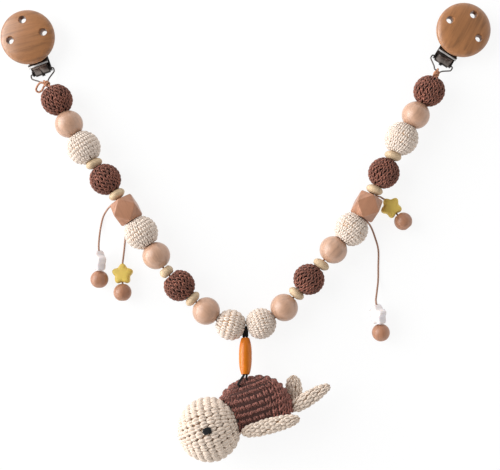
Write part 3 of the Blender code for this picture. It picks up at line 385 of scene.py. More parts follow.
def strands(name, lines, diameter, sides):
    """Round strands as one mesh, each along its points and their shares of the radius."""
    curve = bpy.data.curves.new(name, "CURVE")
    curve.dimensions = "3D"
    curve.bevel_depth = diameter / 2
    curve.bevel_resolution = sides
    curve.use_fill_caps = True
    for points, radii in lines:
        spline = curve.splines.new("POLY")
        spline.points.add(len(points) - 1)
        for spot, point, radius in zip(spline.points, points, radii):
            spot.co = (*point, 1.0)
            spot.radius = radius
    piece = bpy.data.objects.new(name, curve)
    bpy.context.scene.collection.objects.link(piece)
    only(piece)
    bpy.ops.object.convert(target="MESH")
    piece = bpy.context.object
    merge_points(piece)
    return piece


def cord_piece(name, points, diameter, material, radii=None):
    """A round cord or wire along points. Its U counts cord diameters and its V goes round it."""
    piece = strands(name, [(points, radii or [1.0] * len(points))], diameter, 3)
    layer = piece.data.uv_layers[0].data
    values = np.empty(len(layer) * 2)
    layer.foreach_get("uv", values)
    values[0::2] *= path_length(points) / diameter
    layer.foreach_set("uv", values)
    bpy.ops.object.shade_smooth()
    return finished(piece, MATERIALS[material])


def merge_points(piece, distance=1e-7):
    edited(piece, bpy.ops.mesh.remove_doubles, threshold=distance)


def round_ends(start, end, radius):
    """Points and radius shares of a straight cord whose ends are half balls."""
    way = (end - start).normalized()
    angles = [math.radians(90.0 * (step + 0.25) / 4) for step in range(4)]
    caps = [(way * radius * math.cos(angle), math.sin(angle)) for angle in angles]
    points = [start - out for out, share in caps] + [start.lerp(end, place) for place in (0.0, 0.5, 1.0)]
    points += [end + out for out, share in reversed(caps)]
    shares = [share for out, share in caps]
    return points, shares + [1.0] * 3 + shares[::-1]


def spun(name, outline, steps, material=None):
    """A turned piece: a ring of points set to its half section in XZ, then spun round Z."""
    bpy.ops.object.select_all(action="DESELECT")
    bpy.ops.mesh.primitive_circle_add(vertices=len(outline), radius=1.0)
    piece = bpy.context.object
    piece.name = name
    for vertex, (out, up) in zip(piece.data.vertices, outline):
        vertex.co = (out * MM, 0.0, up * MM)
    edited(piece, bpy.ops.mesh.spin, steps=steps, angle=math.tau, center=(0.0, 0.0, 0.0), axis=(0.0, 0.0, 1.0))
    merge_points(piece, 1e-6)
    edited(piece, bpy.ops.mesh.dissolve_degenerate, threshold=1e-6)
    edited(piece, bpy.ops.mesh.delete_loose)
    edited(piece, bpy.ops.mesh.normals_make_consistent, inside=False)
    smoothed(piece, 40.0)
    piece.data.materials.append(material)
    return piece


def bead_outline(radius, half_length, rim, bore, arcs=24, fullness=2.0, lip=0.25):
    """Half section of a bored bead, its bore's edges eased."""
    bulge = half_length / (1.0 - (rim / radius) ** fullness) ** (1.0 / fullness)
    first = math.atan2((half_length / bulge) ** (fullness / 2), (rim / radius) ** (fullness / 2))
    outline = [(bore, half_length - lip), (bore + lip, half_length)]
    for step in range(arcs + 1):
        angle = first - 2.0 * first * step / arcs
        outline.append((radius * abs(math.cos(angle)) ** (2.0 / fullness),
                        math.copysign(bulge * abs(math.sin(angle)) ** (2.0 / fullness), angle)))
    return outline + [(bore + lip, -half_length), (bore, lip - half_length)]


def finished(piece, *materials):
    piece.data.materials.clear()
    for material in materials:
        piece.data.materials.append(material)
    return piece


def bevelled(piece, width, segments, angle):
    """Rounds a piece's sharp edges and applies that."""
    only(piece)
    bevel = piece.modifiers.new("edges", "BEVEL")
    bevel.width = width
    bevel.segments = segments
    bevel.limit_method = "ANGLE"
    bevel.angle_limit = math.radians(angle)
    bevel.harden_normals = False
    bpy.ops.object.modifier_apply(modifier=bevel.name)
    smoothed(piece, 30.0)


def drilled(piece, tool):
    """Cuts a tool out of a piece and removes the tool."""
    only(piece)
    cut = piece.modifiers.new("drill", "BOOLEAN")
    cut.operation = "DIFFERENCE"
    cut.solver = "EXACT"
    cut.object = tool
    bpy.ops.object.modifier_apply(modifier=cut.name)
    bpy.data.objects.remove(tool, do_unlink=True)


def copy_of(node, name):
    """The CAD node's own shape as a new piece, its loose triangles joined into flat faces."""
    piece = frame["nodes"][node].copy()
    piece.data = frame["nodes"][node].data.copy()
    piece.parent = None
    piece.name = name
    for key in [key for key in piece.keys() if key.startswith("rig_")]:
        del piece[key]
    piece.hide_render = False
    piece.hide_viewport = False
    bpy.context.scene.collection.objects.link(piece)
    merge_points(piece, 1e-6)
    edited(piece, bpy.ops.mesh.dissolve_limited, angle_limit=math.radians(1.0))
    return piece


def joined(first, *others):
    """Joins pieces into the first one."""
    only(first)
    for other in others:
        other.select_set(True)
    bpy.ops.object.join()
    return first


# ---- crochet


def even_steps(points):
    """Shares of the whole length at which a line's points lie."""
    lengths = np.linalg.norm(np.diff(points, axis=0), axis=1)
    total = np.concatenate(([0.0], np.cumsum(lengths)))
    return total / total[-1], total[-1]


def rounded(angles, power):
    """Cosines and sines drawn out by a power, for ovals that are fuller than a circle."""
    return [np.sign(wave) * np.abs(wave) ** power for wave in (np.cos(angles), np.sin(angles))]


def ball_surface(radius, first, low_room=None, high_room=None):
    """A ball along Z by the share down it and round it, pressed in at its poles by its neighbours."""
    angles = np.linspace(first, math.pi - first, 400)
    outs, ups = radius * np.sin(angles), radius * np.cos(angles)
    if high_room is not None:
        ups = np.clip(ups, -low_room(outs), high_room(outs))
    shares, length = even_steps(np.stack((outs, ups), axis=1))

    def surface(down, around):
        out, up = np.interp(down, shares, outs), np.interp(down, shares, ups)
        turn = around * math.tau
        return np.stack((out * np.cos(turn), out * np.sin(turn), up), axis=-1)
    return surface, length


def dome_surface(size, fullness, upper):
    """The shell's dome, from its top to its edge, or its belly, from its middle to its edge."""
    power = 2.0 / fullness
    angles = np.linspace(0.0, math.pi / 2, 400)
    reach = (size[0] + size[2]) / 2
    shares, length = even_steps(np.stack((reach * np.sin(angles) ** power, size[1] * np.cos(angles) ** power),
                                         axis=1))
    turns = np.linspace(0.0, math.tau, 1600)
    ring = rounded(turns, power)
    ring_shares = even_steps(np.stack((size[0] * ring[0], size[2] * ring[1]), axis=1))[0]
    way = 1.0 if upper else -1.0

    def surface(down, around):
        angle = np.interp(down, shares, angles)
        ahead, aside = rounded(np.interp(np.mod(around, 1.0), ring_shares, turns), power)
        out = np.sin(angle) ** power
        return np.stack((size[0] * out * ahead, way * size[1] * np.cos(angle) ** power,
                         way * size[2] * out * aside), axis=-1)
    return surface, length


def flipper_surface(length, half_width, half_thickness, tip_share, shrink):
    """A flat teardrop along X, from its base to its tip."""
    def outline(place):
        full = np.clip(1.0 - np.abs(2.0 * place - 1.0) ** 2.4, 0.0, 1.0) ** (1.0 / 2.4)
        return (1.0 + (tip_share - 1.0) * place) * full
    places = np.linspace(0.0, 1.0, 400)
    shares, whole = even_steps(np.stack((places * length, half_width * outline(places)), axis=1))

    def surface(down, around):
        place = np.interp(down, shares, places)
        wide = np.maximum(outline(place), 0.0)
        turn = around * math.tau
        return np.stack((shrink + place * (length - 2 * shrink), (half_width - shrink) * wide * np.cos(turn),
                         -(half_thickness - shrink) * wide * np.sin(turn)), axis=-1)
    return surface, whole


def outward(surface, down, around):
    """Points of a surface and its unit normals there, a little in from its poles."""
    down = np.clip(down, 0.004, 0.996)
    step = 2e-3
    low, high = np.clip(down - step, 0.0, 1.0), np.clip(down + step, 0.0, 1.0)
    along_way = surface(high, around) - surface(low, around)
    round_way = surface(down, around + step) - surface(down, around - step)
    normal = np.cross(along_way, round_way)
    normal /= np.maximum(np.linalg.norm(normal, axis=-1, keepdims=True), 1e-12)
    return surface(down, around), normal


def stitch_mesh(width, row, thickness, legs, ends=1.0):
    """One stitch, modelled flat: two short strands that rise from its foot and may thin to their ends."""
    lines = []
    for foot, top, bow in legs:
        points = [((foot + (top - foot) * share + bow * math.sin(math.pi * share)) * width, up * row,
                   out * thickness / 2) for share, up, out in LEG_RISE]
        lines.append((points, [ends + (1.0 - ends) * math.sin(math.pi * share) ** 0.5
                               for share, up, out in LEG_RISE]))
    piece = strands("stitch", lines, thickness, 1)
    mesh = piece.data
    places, uvs = np.empty(len(mesh.vertices) * 3), np.empty(len(mesh.loops) * 2)
    mesh.vertices.foreach_get("co", places)
    mesh.uv_layers[0].data.foreach_get("uv", uvs)
    faces = [tuple(face.vertices) for face in mesh.polygons]
    bpy.data.objects.remove(piece, do_unlink=True)
    return places.reshape(-1, 3), faces, uvs.reshape(-1, 2)


def crochet(name, shape, stitch, width, row, lean, seed, keep=None):
    """Rounds of stitches laid over a surface, each a copy of one stitch bent to its place."""
    surface, length = shape
    cells, faces, uvs = stitch
    chance = np.random.default_rng(seed)
    rows = max(2, round(length / row))
    all_points, tones = [], []
    for index in range(rows):
        ring = surface(np.full(65, (index + 0.5) / rows), np.linspace(0.0, 1.0, 65))
        round_length = np.linalg.norm(np.diff(ring, axis=0), axis=1).sum()
        count = max(5, 2 * round(round_length / width / 2))
        for number in range(count):
            slide = chance.normal(0.0, 0.025, 2)
            puff = 1.0 + chance.normal(0.0, 0.05)
            around = (number + 0.5 + lean * index + slide[0] + cells[:, 0] / width * puff) / count
            down = (index + slide[1] + cells[:, 1] / row * puff) / rows
            base, normal = outward(surface, down, around)
            points = base + normal * (cells[:, 2:3] * puff)
            if keep is not None and not keep(points.mean(axis=0)):
                continue
            all_points.append(points)
            tones.append(np.full(len(points), chance.uniform(0.0, 1.0)))
    size = len(cells)
    corners = [tuple(i + size * copy for i in face) for copy in range(len(all_points)) for face in faces]
    mesh = bpy.data.meshes.new(name)
    mesh.from_pydata(np.concatenate(all_points).tolist(), [], corners)
    mesh.uv_layers.new(name="UVMap").data.foreach_set(
        "uv", np.tile(uvs, (len(all_points), 1)).astype(np.float32).ravel())
    mesh.attributes.new("tone", "FLOAT", "POINT").data.foreach_set(
        "value", np.concatenate(tones).astype(np.float32))
    piece = bpy.data.objects.new(name, mesh)
    bpy.context.scene.collection.objects.link(piece)
    only(piece)
    bpy.ops.object.shade_smooth()
    return piece


def lining(name, surface, sink):
    """The closed body that shows between the stitches: a ball primitive laid on the surface."""
    bpy.ops.object.select_all(action="DESELECT")
    bpy.ops.mesh.primitive_uv_sphere_add(segments=40, ring_count=24, radius=1.0)
    piece = bpy.context.object
    piece.name = name
    places = np.array([vertex.co for vertex in piece.data.vertices])
    down = np.arccos(np.clip(places[:, 2], -1.0, 1.0)) / math.pi
    around = np.mod(np.arctan2(places[:, 1], places[:, 0]) / math.tau, 1.0)
    base, normal = outward(surface, down, around)
    piece.data.vertices.foreach_set("co", (base - normal * sink).ravel())
    piece.data.update()
    edited(piece, bpy.ops.mesh.normals_make_consistent, inside=False)
    bpy.ops.object.shade_smooth()
    return piece


# ---- materials


MATERIALS = {}


def new_material(name):
    """An empty material, kept under its name."""
    material = bpy.data.materials.new(name)
    material.use_nodes = True
    material.node_tree.nodes.clear()
    MATERIALS[name] = material
    return material.node_tree


def add_node(tree, kind, settings=None, links=None, **values):
    """A node with its settings, its sockets' values and the sockets that feed it."""
    node = tree.nodes.new(kind)
    for key, value in (settings or {}).items():
        setattr(node, key, value)
    for key, value in values.items():
        socket = node.inputs[int(key[1:])] if key[1:].isdigit() else node.inputs[key.replace("_", " ")]
        socket.default_value = value
    for key, source in (links or {}).items():
        tree.links.new(source, node.inputs[key])
    return node


def object_place(tree):
    return add_node(tree, "ShaderNodeTexCoord").outputs["Object"]


def own_place(tree):
    return add_node(tree, "ShaderNodeAttribute", {"attribute_name": "own_place"}).outputs["Vector"]


def noise(tree, vector, scale, detail, stretch=None, **values):
    """A noise texture's value, its place stretched first if asked."""
    if stretch:
        vector = add_node(tree, "ShaderNodeMapping", links={"Vector": vector}, Scale=stretch).outputs[0]
    return add_node(tree, "ShaderNodeTexNoise", links={"Vector": vector}, Scale=scale, Detail=detail,
                    **values).outputs["Fac"]


def ramp(tree, source, *stops):
    """A colour ramp's colour, its stops given as place and colour or grey."""
    node = add_node(tree, "ShaderNodeValToRGB", links={"Fac": source})
    elements = node.color_ramp.elements
    while len(elements) < len(stops):
        elements.new(0.5)
    for element, (place, colour) in zip(elements, stops):
        element.position = place
        element.color = (*((colour,) * 3 if isinstance(colour, float) else colour), 1.0)
    return node.outputs[0]


def multiplied(tree, first, second, share):
    """One colour multiplied by another, by a share."""
    return add_node(tree, "ShaderNodeMix", {"data_type": "RGBA", "blend_type": "MULTIPLY"},
                    {6: first, 7: second}, s0=share).outputs[2]


def calculated(tree, operation, links, clamp=False, **values):
    """What a maths node gives."""
    return add_node(tree, "ShaderNodeMath", {"operation": operation, "use_clamp": clamp}, links,
                    **values).outputs[0]


def mixed(tree, share, first, second):
    """Two shaders mixed by a share."""
    return add_node(tree, "ShaderNodeMixShader", links={0: share, 1: first.outputs[0], 2: second.outputs[0]})


def output(tree, shader, kind="Material"):
    add_node(tree, f"ShaderNodeOutput{kind}", links={"Surface": shader.outputs[0]})


def surfaced(tree, colour, bump=None, rough=None, **values):
    """Ends a material in a surface with a colour, a bump's height, strength and depth, and a roughness."""
    links = {"Base Color": colour}
    if bump:
        height, strength, distance = bump
        links["Normal"] = add_node(tree, "ShaderNodeBump", links={"Height": height}, Strength=strength,
                                   Distance=distance).outputs[0]
    if rough:
        value, low, high = rough
        links["Roughness"] = add_node(tree, "ShaderNodeMapRange", links={"Value": value}, To_Min=low,
                                      To_Max=high).outputs[0]
    output(tree, add_node(tree, "ShaderNodeBsdfPrincipled", links=links, **values))


def wood(name, colour, roughness, contrast, coat=0.0):
    """Beech or maple, turned and sanded: long bands of growth, fine fibres and short dark flecks."""
    tree = new_material(name)
    own = own_place(tree)
    # growth bands about 2.4 mm wide, fibres 0.4 mm wide and flecks 0.3 by 2 mm
    bands = noise(tree, own, 1.0, 2.0, (20.0, 420.0, 420.0), Roughness=0.5, Distortion=0.4)
    fibres = noise(tree, own, 1.0, 3.0, (180.0, 2400.0, 2400.0), Roughness=0.6)
    flecks = noise(tree, own, 1.0, 1.0, (520.0, 3200.0, 1500.0), Roughness=0.4)
    cloud = noise(tree, own, 70.0, 2.0, Roughness=0.5)
    look = ramp(tree, bands, (0.30, shade(colour, 1.0 - 0.34 * contrast)), (0.48, colour),
                (0.70, shade(colour, 1.0 + 0.16 * contrast)))
    look = multiplied(tree, look, ramp(tree, fibres, (0.32, 0.80), (0.62, 1.0)), 0.55 * contrast)
    look = multiplied(tree, look, ramp(tree, flecks, (0.60, 1.0), (0.72, (0.62, 0.52, 0.45))), 0.45 * contrast)
    look = multiplied(tree, look, ramp(tree, cloud, (0.30, (0.90, 0.87, 0.85)), (0.70, 1.0)), 0.7)
    surfaced(tree, look, (fibres, 0.12, 0.00015), Roughness=roughness, Specular_IOR_Level=0.2,
             Coat_Weight=coat, Coat_Roughness=0.28)


def yarn(name, colour, plies, turns, depth, crease_shade=0.62, sheen=0.25, spread=0.16):
    """Mercerised cotton yarn, plied: slanting plies with painted shade in the creases between them, a fuzz of
    fibres, and stitches that differ a little.
    """
    tree = new_material(name)
    uv = add_node(tree, "ShaderNodeUVMap", {"uv_map": "UVMap"})
    # bands repeat once for each 2 pi / 10 of the vector, so the plies meet round the strand
    slant = add_node(tree, "ShaderNodeMapping", links={"Vector": uv.outputs[0]},
                     Scale=(math.tau / 10 * turns, math.tau / 10 * plies, 1.0))
    ply = add_node(tree, "ShaderNodeTexWave", {"wave_type": "BANDS", "bands_direction": "DIAGONAL"},
                   {"Vector": slant.outputs[0]}, Scale=1.0, Distortion=0.0).outputs["Fac"]
    fuzz = noise(tree, object_place(tree), 2600.0, 3.0, Roughness=0.65)
    tone = add_node(tree, "ShaderNodeAttribute", {"attribute_name": "tone"}).outputs["Fac"]
    # Painted shade: each ply darkens into the crease beside it
    look = ramp(tree, ply, (0.0, shade(colour, crease_shade)), (0.55, colour))
    look = multiplied(tree, look, ramp(tree, tone, (0.0, 1.0 - spread), (1.0, 1.0)), 1.0)
    look = multiplied(tree, look, ramp(tree, fuzz, (0.30, 0.86), (0.70, 1.05)), 0.8)
    height = calculated(tree, "MULTIPLY_ADD", {0: fuzz, 2: ply}, s1=0.35)
    surfaced(tree, look, (height, 0.7, depth), Roughness=0.85, Sheen_Weight=sheen, Sheen_Roughness=0.4)


def plain_cotton(name, colour):
    """The shadowed fabric between stitches: matt, with a fuzz of fibres."""
    tree = new_material(name)
    fuzz = noise(tree, object_place(tree), 1500.0, 3.0)
    look = ramp(tree, fuzz, (0.3, shade(colour, 0.7)), (0.7, colour))
    surfaced(tree, look, (fuzz, 0.5, 0.0002), Roughness=0.95)


def silicone(name, colour):
    """Moulded food-grade silicone: soft satin with a very fine grain and a little light inside."""
    tree = new_material(name)
    place = object_place(tree)
    grain = noise(tree, place, 900.0, 4.0, Roughness=0.6)
    look = ramp(tree, noise(tree, place, 160.0, 2.0), (0.30, shade(colour, 0.93)), (0.70, colour))
    surfaced(tree, look, (grain, 0.15, 0.0001), (grain, 0.42, 0.62), Subsurface_Weight=0.15,
             Subsurface_Radius=(0.002, 0.0015, 0.001), Subsurface_Scale=1.0, IOR=1.41)


def nickel(name, colour, metallic=1.0):
    """Pressed steel with dark nickel plating: fine tumbling marks and dull patches."""
    tree = new_material(name)
    place = object_place(tree)
    marks = noise(tree, place, 1400.0, 4.0, Roughness=0.7)
    look = ramp(tree, noise(tree, place, 260.0, 2.0), (0.35, shade(colour, 0.6)), (0.65, colour))
    surfaced(tree, look, (marks, 0.12, 0.00005), (marks, 0.22, 0.45), Metallic=metallic)


def hard_plastic(name, colour):
    """Moulded ABS with a faint grain."""
    tree = new_material(name)
    grain = noise(tree, object_place(tree), 1800.0, 3.0)
    look = ramp(tree, grain, (0.3, shade(colour, 0.94)), (0.7, colour))
    surfaced(tree, look, (grain, 0.1, 0.0001), Roughness=0.4, IOR=1.54)


def lacquer(name, colour):
    """Turned wood under thick amber lacquer: faint long streaks and a soft shine."""
    tree = new_material(name)
    streaks = noise(tree, own_place(tree), 1.0, 3.0, (60.0, 900.0, 900.0), Roughness=0.55)
    look = ramp(tree, streaks, (0.30, shade(colour, 0.78)), (0.55, colour), (0.80, shade(colour, 1.12)))
    surfaced(tree, look, Roughness=0.4, Specular_IOR_Level=0.1, Coat_Weight=0.5, Coat_Roughness=0.25,
             Coat_IOR=1.5)


def make_materials(colours):
    """All the finishes."""
    wood("oiled_beech_disc", colours.disc_beech, 0.5, 0.9, 1.0)
    wood("raw_beech_ball", colours.ball_beech, 0.5, 0.6, 0.9)
    wood("rosy_beech", colours.facet_beech, 0.5, 0.6, 0.6)
    wood("sanded_maple", colours.maple, 0.45, 0.6)
    yarn("brown_cotton_yarn", colours.brown_yarn, 3, 1.5, 0.0002, 0.2, 0.1, 0.4)
    yarn("shell_cotton_yarn", colours.shell_yarn, 3, 1.5, 0.0002, 0.26, 0.08, 0.35)
    yarn("cream_cotton_yarn", colours.cream_yarn, 3, 1.5, 0.00008, 0.88, 0.12, 0.08)
    yarn("turtle_cotton_yarn", colours.turtle_yarn, 3, 1.5, 0.00012, 0.82, 0.12, 0.1)
    plain_cotton("brown_ground", shade(colours.brown_yarn, 0.08))
    plain_cotton("cream_ground", colours.cream_gap)
    plain_cotton("shell_ground", shade(colours.shell_yarn, 0.15))
    plain_cotton("turtle_ground", colours.turtle_gap)
    yarn("caramel_waxed_cord", colours.caramel, 2, 0.6, 0.00008)
    yarn("tan_waxed_cord", colours.tan, 2, 0.6, 0.00008)
    yarn("black_waxed_cord", colours.black, 2, 0.6, 0.00005, 0.8, 0.0)
    silicone("white_silicone", colours.white_star)
    silicone("yellow_silicone", colours.yellow_star)
    lacquer("amber_lacquer", colours.amber)
    nickel("dark_nickel_steel", colours.steel)
    # A near-white copy of the plating: painted highlight on the flange strip
    nickel("worn_nickel_steel", colours.worn_steel, 0.6)
    # A paler copy of the plating: painted highlight on the pressed panels
    nickel("grey_nickel_steel", colours.grey_steel)
    nickel("dark_steel_wire", colours.wire_steel)
    hard_plastic("white_abs_pad", colours.pad)


# ---- operators, one for each group of pieces


class PRAM_OT_camera(bpy.types.Operator):
    """Sets the camera over the table, looking straight down"""
    bl_idname = "pram.camera"
    bl_label = "Camera"

    def execute(self, context):
        stage = context.scene.pram_stage
        bpy.ops.object.select_all(action="DESELECT")
        bpy.ops.object.camera_add(location=(*CAMERA_SPOT, stage.camera_height), rotation=(0.0, 0.0, 0.0))
        camera = context.object
        camera.name = "camera_over_table"
        camera.data.sensor_width = 36.0
        camera.data.lens = stage.focal
        camera.data.clip_start = 0.01
        context.scene.camera = camera
        return {"FINISHED"}


def star_piece(name, sizes, material):
    """A pillow-shaped five-point star: a ball primitive drawn out to the star's outline."""
    bpy.ops.object.select_all(action="DESELECT")
    bpy.ops.mesh.primitive_uv_sphere_add(segments=90, ring_count=28, radius=1.0)
    star = bpy.context.object
    star.name = name
    for vertex in star.data.vertices:
        across, down, up = vertex.co
        turn = math.atan2(across, -down)
        reach = sizes.star / (1.0 + STAR_WAIST) * (1.0 + STAR_WAIST * math.cos(5 * turn))
        out = reach * math.sqrt(min(1.0, math.hypot(across, down)))
        rise = math.copysign(math.sqrt(abs(up)), up) * sizes.star_thickness / 2
        vertex.co = (out * math.sin(turn), rise, -out * math.cos(turn))
    star.data.update()
    edited(star, bpy.ops.mesh.normals_make_consistent, inside=False)
    bpy.ops.mesh.primitive_cylinder_add(vertices=24, radius=STAR_BORE * MM, depth=20 * MM)
    drilled(star, bpy.context.object)
    smoothed(star, 50.0)
    return finished(star, MATERIALS[material])


class PRAM_OT_side_pendants(bpy.types.Operator):
    """Makes the four tan side cords with their silicone stars and beech end beads"""
    bl_idname = "pram.side_pendants"
    bl_label = "Side pendants"

    def execute(self, context):
        sizes = context.scene.pram_sizes
        for number, (side, tail) in enumerate(SIDE_ROUTES):
            colour = STAR_COLOURS[tail]
            star_place = joint_frame(f"{side}_{colour}_star_spin") @ turned(STAR_ROLLS[side, tail], "Z")
            star = star_piece(f"{side}_{colour}_silicone_star", sizes, f"{colour}_silicone")
            set_down(star, star_place)
            attach(star, f"{colour}_silicone", f"{side}_{colour}_star_body", f"{side}_{colour}_star")
            joint = f"{side}_{tail}_tail_end_spin"
            axis, centre, end_place = joint_axis(joint), joint_place(joint), joint_frame(joint)
            bead = spun(f"{side}_{tail}_beech_end", bead_outline(*BEAD_SIZES["end_bead"]), 40,
                        MATERIALS["rosy_beech"])
            set_down(bead, end_place)
            keep_grain(bead, end_place @ turned(90.0, "Y"), number + 40)
            attach(bead, "oiled_beech", f"{side}_{tail}_tail_end", f"{side}_{tail}_tail_end_bead")
            star_centre = star_place.translation
            through = [star_centre - axis * sizes.star / 2, star_centre + axis * sizes.star / 2, centre,
                       centre + axis * (BEAD_SIZES["end_bead"][1] * MM)]
            path = smooth_path(metres(SIDE_ROUTES[side, tail]) + through, 0.6 * MM)
            cord = cord_piece(f"{side}_{tail}_side_cord", path, sizes.side_cord, "tan_waxed_cord")
            attach(cord, "tan_cord", f"{side}_{tail}_tail", f"{side}_{tail}_tail_cord")
            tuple(path[0])
            path_length(path)
        return {"FINISHED"}


class PRAM_OT_black_cord(bpy.types.Operator):
    """Makes the black cord that holds the long bead and the turtle, and the whipping round it"""
    bl_idname = "pram.black_cord"
    bl_label = "Black cord"

    def execute(self, context):
        sizes = context.scene.pram_sizes
        path = smooth_path(metres(PENDANT_ROUTE), 0.6 * MM)
        cord = cord_piece("black_pendant_cord", path, sizes.black_cord, "black_waxed_cord")
        attach(cord, "black_cord", "pendant", "pendant_cord")
        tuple(path[0])
        path_length(path)
        low, high = metres(WHIPPING_ENDS)
        place = along(high - low, low)
        wraps = []
        for step in range(WHIPPING_TURNS * 16 + 1):
            angle = math.tau * step / 16
            wraps.append(place @ Vector((WHIPPING_REACH[0] * MM * math.cos(angle),
                                         WHIPPING_REACH[1] * MM * math.sin(angle),
                                         (high - low).length * step / (WHIPPING_TURNS * 16))))
        whipping = cord_piece("black_whipping", wraps, WHIPPING_YARN * MM, "black_waxed_cord")
        attach(whipping, "black_cord", "pendant")
        return {"FINISHED"}


def outer_end(node):
    """The point where the string leaves a bead's far end."""
    return bead_place(node) @ Vector((0.0, 0.0, BEAD_SIZES[bead_kind(node)][1] * MM))


def knot_path(side, sizes):
    """The string from the last ball round the bail's wire, wrapped round itself, and its end."""
    node = next(name for name in BEADS if name.startswith(f"{side}_01"))
    leave = outer_end(node)
    tip = joint_place(f"{side}_bail_swing")
    to_ball = (leave - tip).normalized()
    ahead = tip - node_centre(f"{side}_clip_disc")
    wire_way = Vector((0.0, 0.0, 1.0)).cross(Vector((ahead.x, ahead.y, 0.0)).normalized())
    up = wire_way.cross(to_ball).normalized()
    if up.z < 0.0:
        up = -up
    across = to_ball.cross(up)
    turn_radius = (sizes.wire + sizes.string) / 2 + 0.1 * MM
    wrap_radius = sizes.string + 0.08 * MM
    standing = tip + up * turn_radius
    points = [bead_place(node) @ Vector((0.0, 0.0, 2.0 * MM)), leave, standing.lerp(leave, 0.35)]
    for step in range(9):
        angle = math.radians(90.0 + 27.0 * step)
        points.append(tip + turn_radius * (to_ball * math.cos(angle) + up * math.sin(angle)))
    turns, spare = KNOT_TURNS[side]
    pitch = sizes.string + spare * MM
    line = (leave - standing).normalized()
    for step in range(round(turns * 12) + 1):
        angle = math.radians(150.0 + 30.0 * step)
        ring = across * math.sin(angle) + up * math.cos(angle)
        points.append(standing + line * (1.9 * MM + pitch * step / 12) + ring * wrap_radius)
    return points + metres(KNOT_LOOP if side == "left" else ())


class PRAM_OT_string(bpy.types.Operator):
    """Threads the waxed string through every bead and knots it to the clips' wire"""
    bl_idname = "pram.string"
    bl_label = "String and knots"

    def execute(self, context):
        sizes = context.scene.pram_sizes
        for node in BEADS:
            body = bead_body(node)
            side, number = body.split("_")
            start = joint_place("right_14_bend" if number == "14" else body + "_bend")
            end = outer_end(node) if number == "01" else joint_place(f"{side}_{int(number) - 1:02d}_bend")
            points, shares = round_ends(start, end, sizes.string / 2)
            string = cord_piece(f"{body}_string", points, sizes.string, "caramel_waxed_cord", shares)
            attach(string, "caramel_cord", body, "main_string" if body == "left_14" else None)
        for side in SIDES:
            path = smooth_path(knot_path(side, sizes), 0.4 * MM)
            knot = cord_piece(f"{side}_knot", path, sizes.string, "caramel_waxed_cord")
            attach(knot, "caramel_cord", f"{side}_01")
        return {"FINISHED"}


def room_beside(node, step):
    """How far a cover may reach along the string at each distance from it, in metres."""
    half = BEAD_SIZES[bead_kind(node)][1] * MM
    side, number = bead_body(node).split("_")
    beside = [name for name in BEADS if name.startswith(f"{side}_{int(number) + step:02d}")]
    kind = bead_kind(beside[0]) if beside else ""
    if kind not in ("beech_ball", "lens_spacer"):
        spare = SPARE_ROOM.get(kind, 0.2) * MM
        return lambda out: np.full_like(out, half + spare)
    wide, deep, rim = (size * MM for size in BEAD_SIZES[kind][:3])
    gap = (node_centre(beside[0]) - node_centre(node)).length - half - deep
    bulge = deep / math.sqrt(1.0 - (rim / wide) ** 2)
    return lambda out: half + gap + deep - bulge * np.sqrt(np.clip(1.0 - (out / wide) ** 2, 0.0, 1.0))


class PRAM_OT_crocheted_balls(bpy.types.Operator):
    """Crochets the covers of the twelve covered balls over their beech cores"""
    bl_idname = "pram.crocheted_balls"
    bl_label = "Crocheted balls"

    def execute(self, context):
        sizes = context.scene.pram_sizes
        half, rim, bore = BEAD_SIZES["cream_crochet"][1:]
        for number, node in enumerate(name for name in BEADS if "crochet" in name):
            colour = "cream" if "cream" in node else "brown"
            radius = BALL_REACH["middle" if "_14_" in node else colour]
            loose = node == "left_14_cream_crochet"
            width = sizes.ball_stitch * (1.12 if loose else 1.0)
            row = sizes.ball_row * (1.3 if loose else 1.0)
            thickness = BALL_YARN[colour] * sizes.ball_stitch
            sink = STITCH_SINK * thickness
            outer, inner = room_beside(node, -1), room_beside(node, 1)
            shape = ball_surface(radius * MM - sink, 0.2, lambda out: inner(out) - sink,
                                 lambda out: outer(out) - sink)
            if colour == "brown":
                stitch = stitch_mesh(width, row, thickness, OPEN_LEGS)
            else:
                stitch = stitch_mesh(width, row, 1.04 * thickness, PUFFED_LEGS, 0.5)
            cover = crochet(node + "_cover", shape, stitch, width, row, 0.35, number)
            finished(cover, MATERIALS[colour + "_cotton_yarn"])
            core = spun(node + "_core", bead_outline(radius - CORE_DEPTH[colour], half - 0.4, rim, bore), 32)
            finished(core, MATERIALS[colour + "_ground"])
            joined(cover, core)
            flat = min(1.0, BALL_HEIGHT / radius)
            set_down(cover, bead_place(node) @ Matrix.Diagonal((1.0, flat, 1.0, 1.0)))
            attach(cover, colour + "_cotton", bead_body(node), node)
        return {"FINISHED"}


class PRAM_OT_wooden_beads(bpy.types.Operator):
    """Turns the beech balls and maple spacers and eases the faceted beads"""
    bl_idname = "pram.wooden_beads"
    bl_label = "Wooden beads"

    def execute(self, context):
        sizes = context.scene.pram_sizes
        for number, node in enumerate(name for name in BEADS if "crochet" not in name):
            kind, place = bead_kind(node), bead_place(node)
            if kind == "facet_bead":
                bead = copy_of(node, node + "_eased")
                bevelled(bead, sizes.soft_edge, 4, 25.0)
                bead.data.transform(place @ Matrix.Diagonal(FACET_STRETCH) @ place.inverted())
                finished(bead, MATERIALS["rosy_beech"])
            else:
                wooden = "sanded_maple" if "spacer" in kind else "raw_beech_ball"
                bead = spun(node + "_turned", bead_outline(*BEAD_SIZES[kind]), 48, MATERIALS[wooden])
                set_down(bead, place)
            keep_grain(bead, place @ turned(37.0 * number, "Z") @ turned(90.0, "Y"), number)
            attach(bead, "pale_maple" if "spacer" in kind else "oiled_beech", bead_body(node), node)
        return {"FINISHED"}


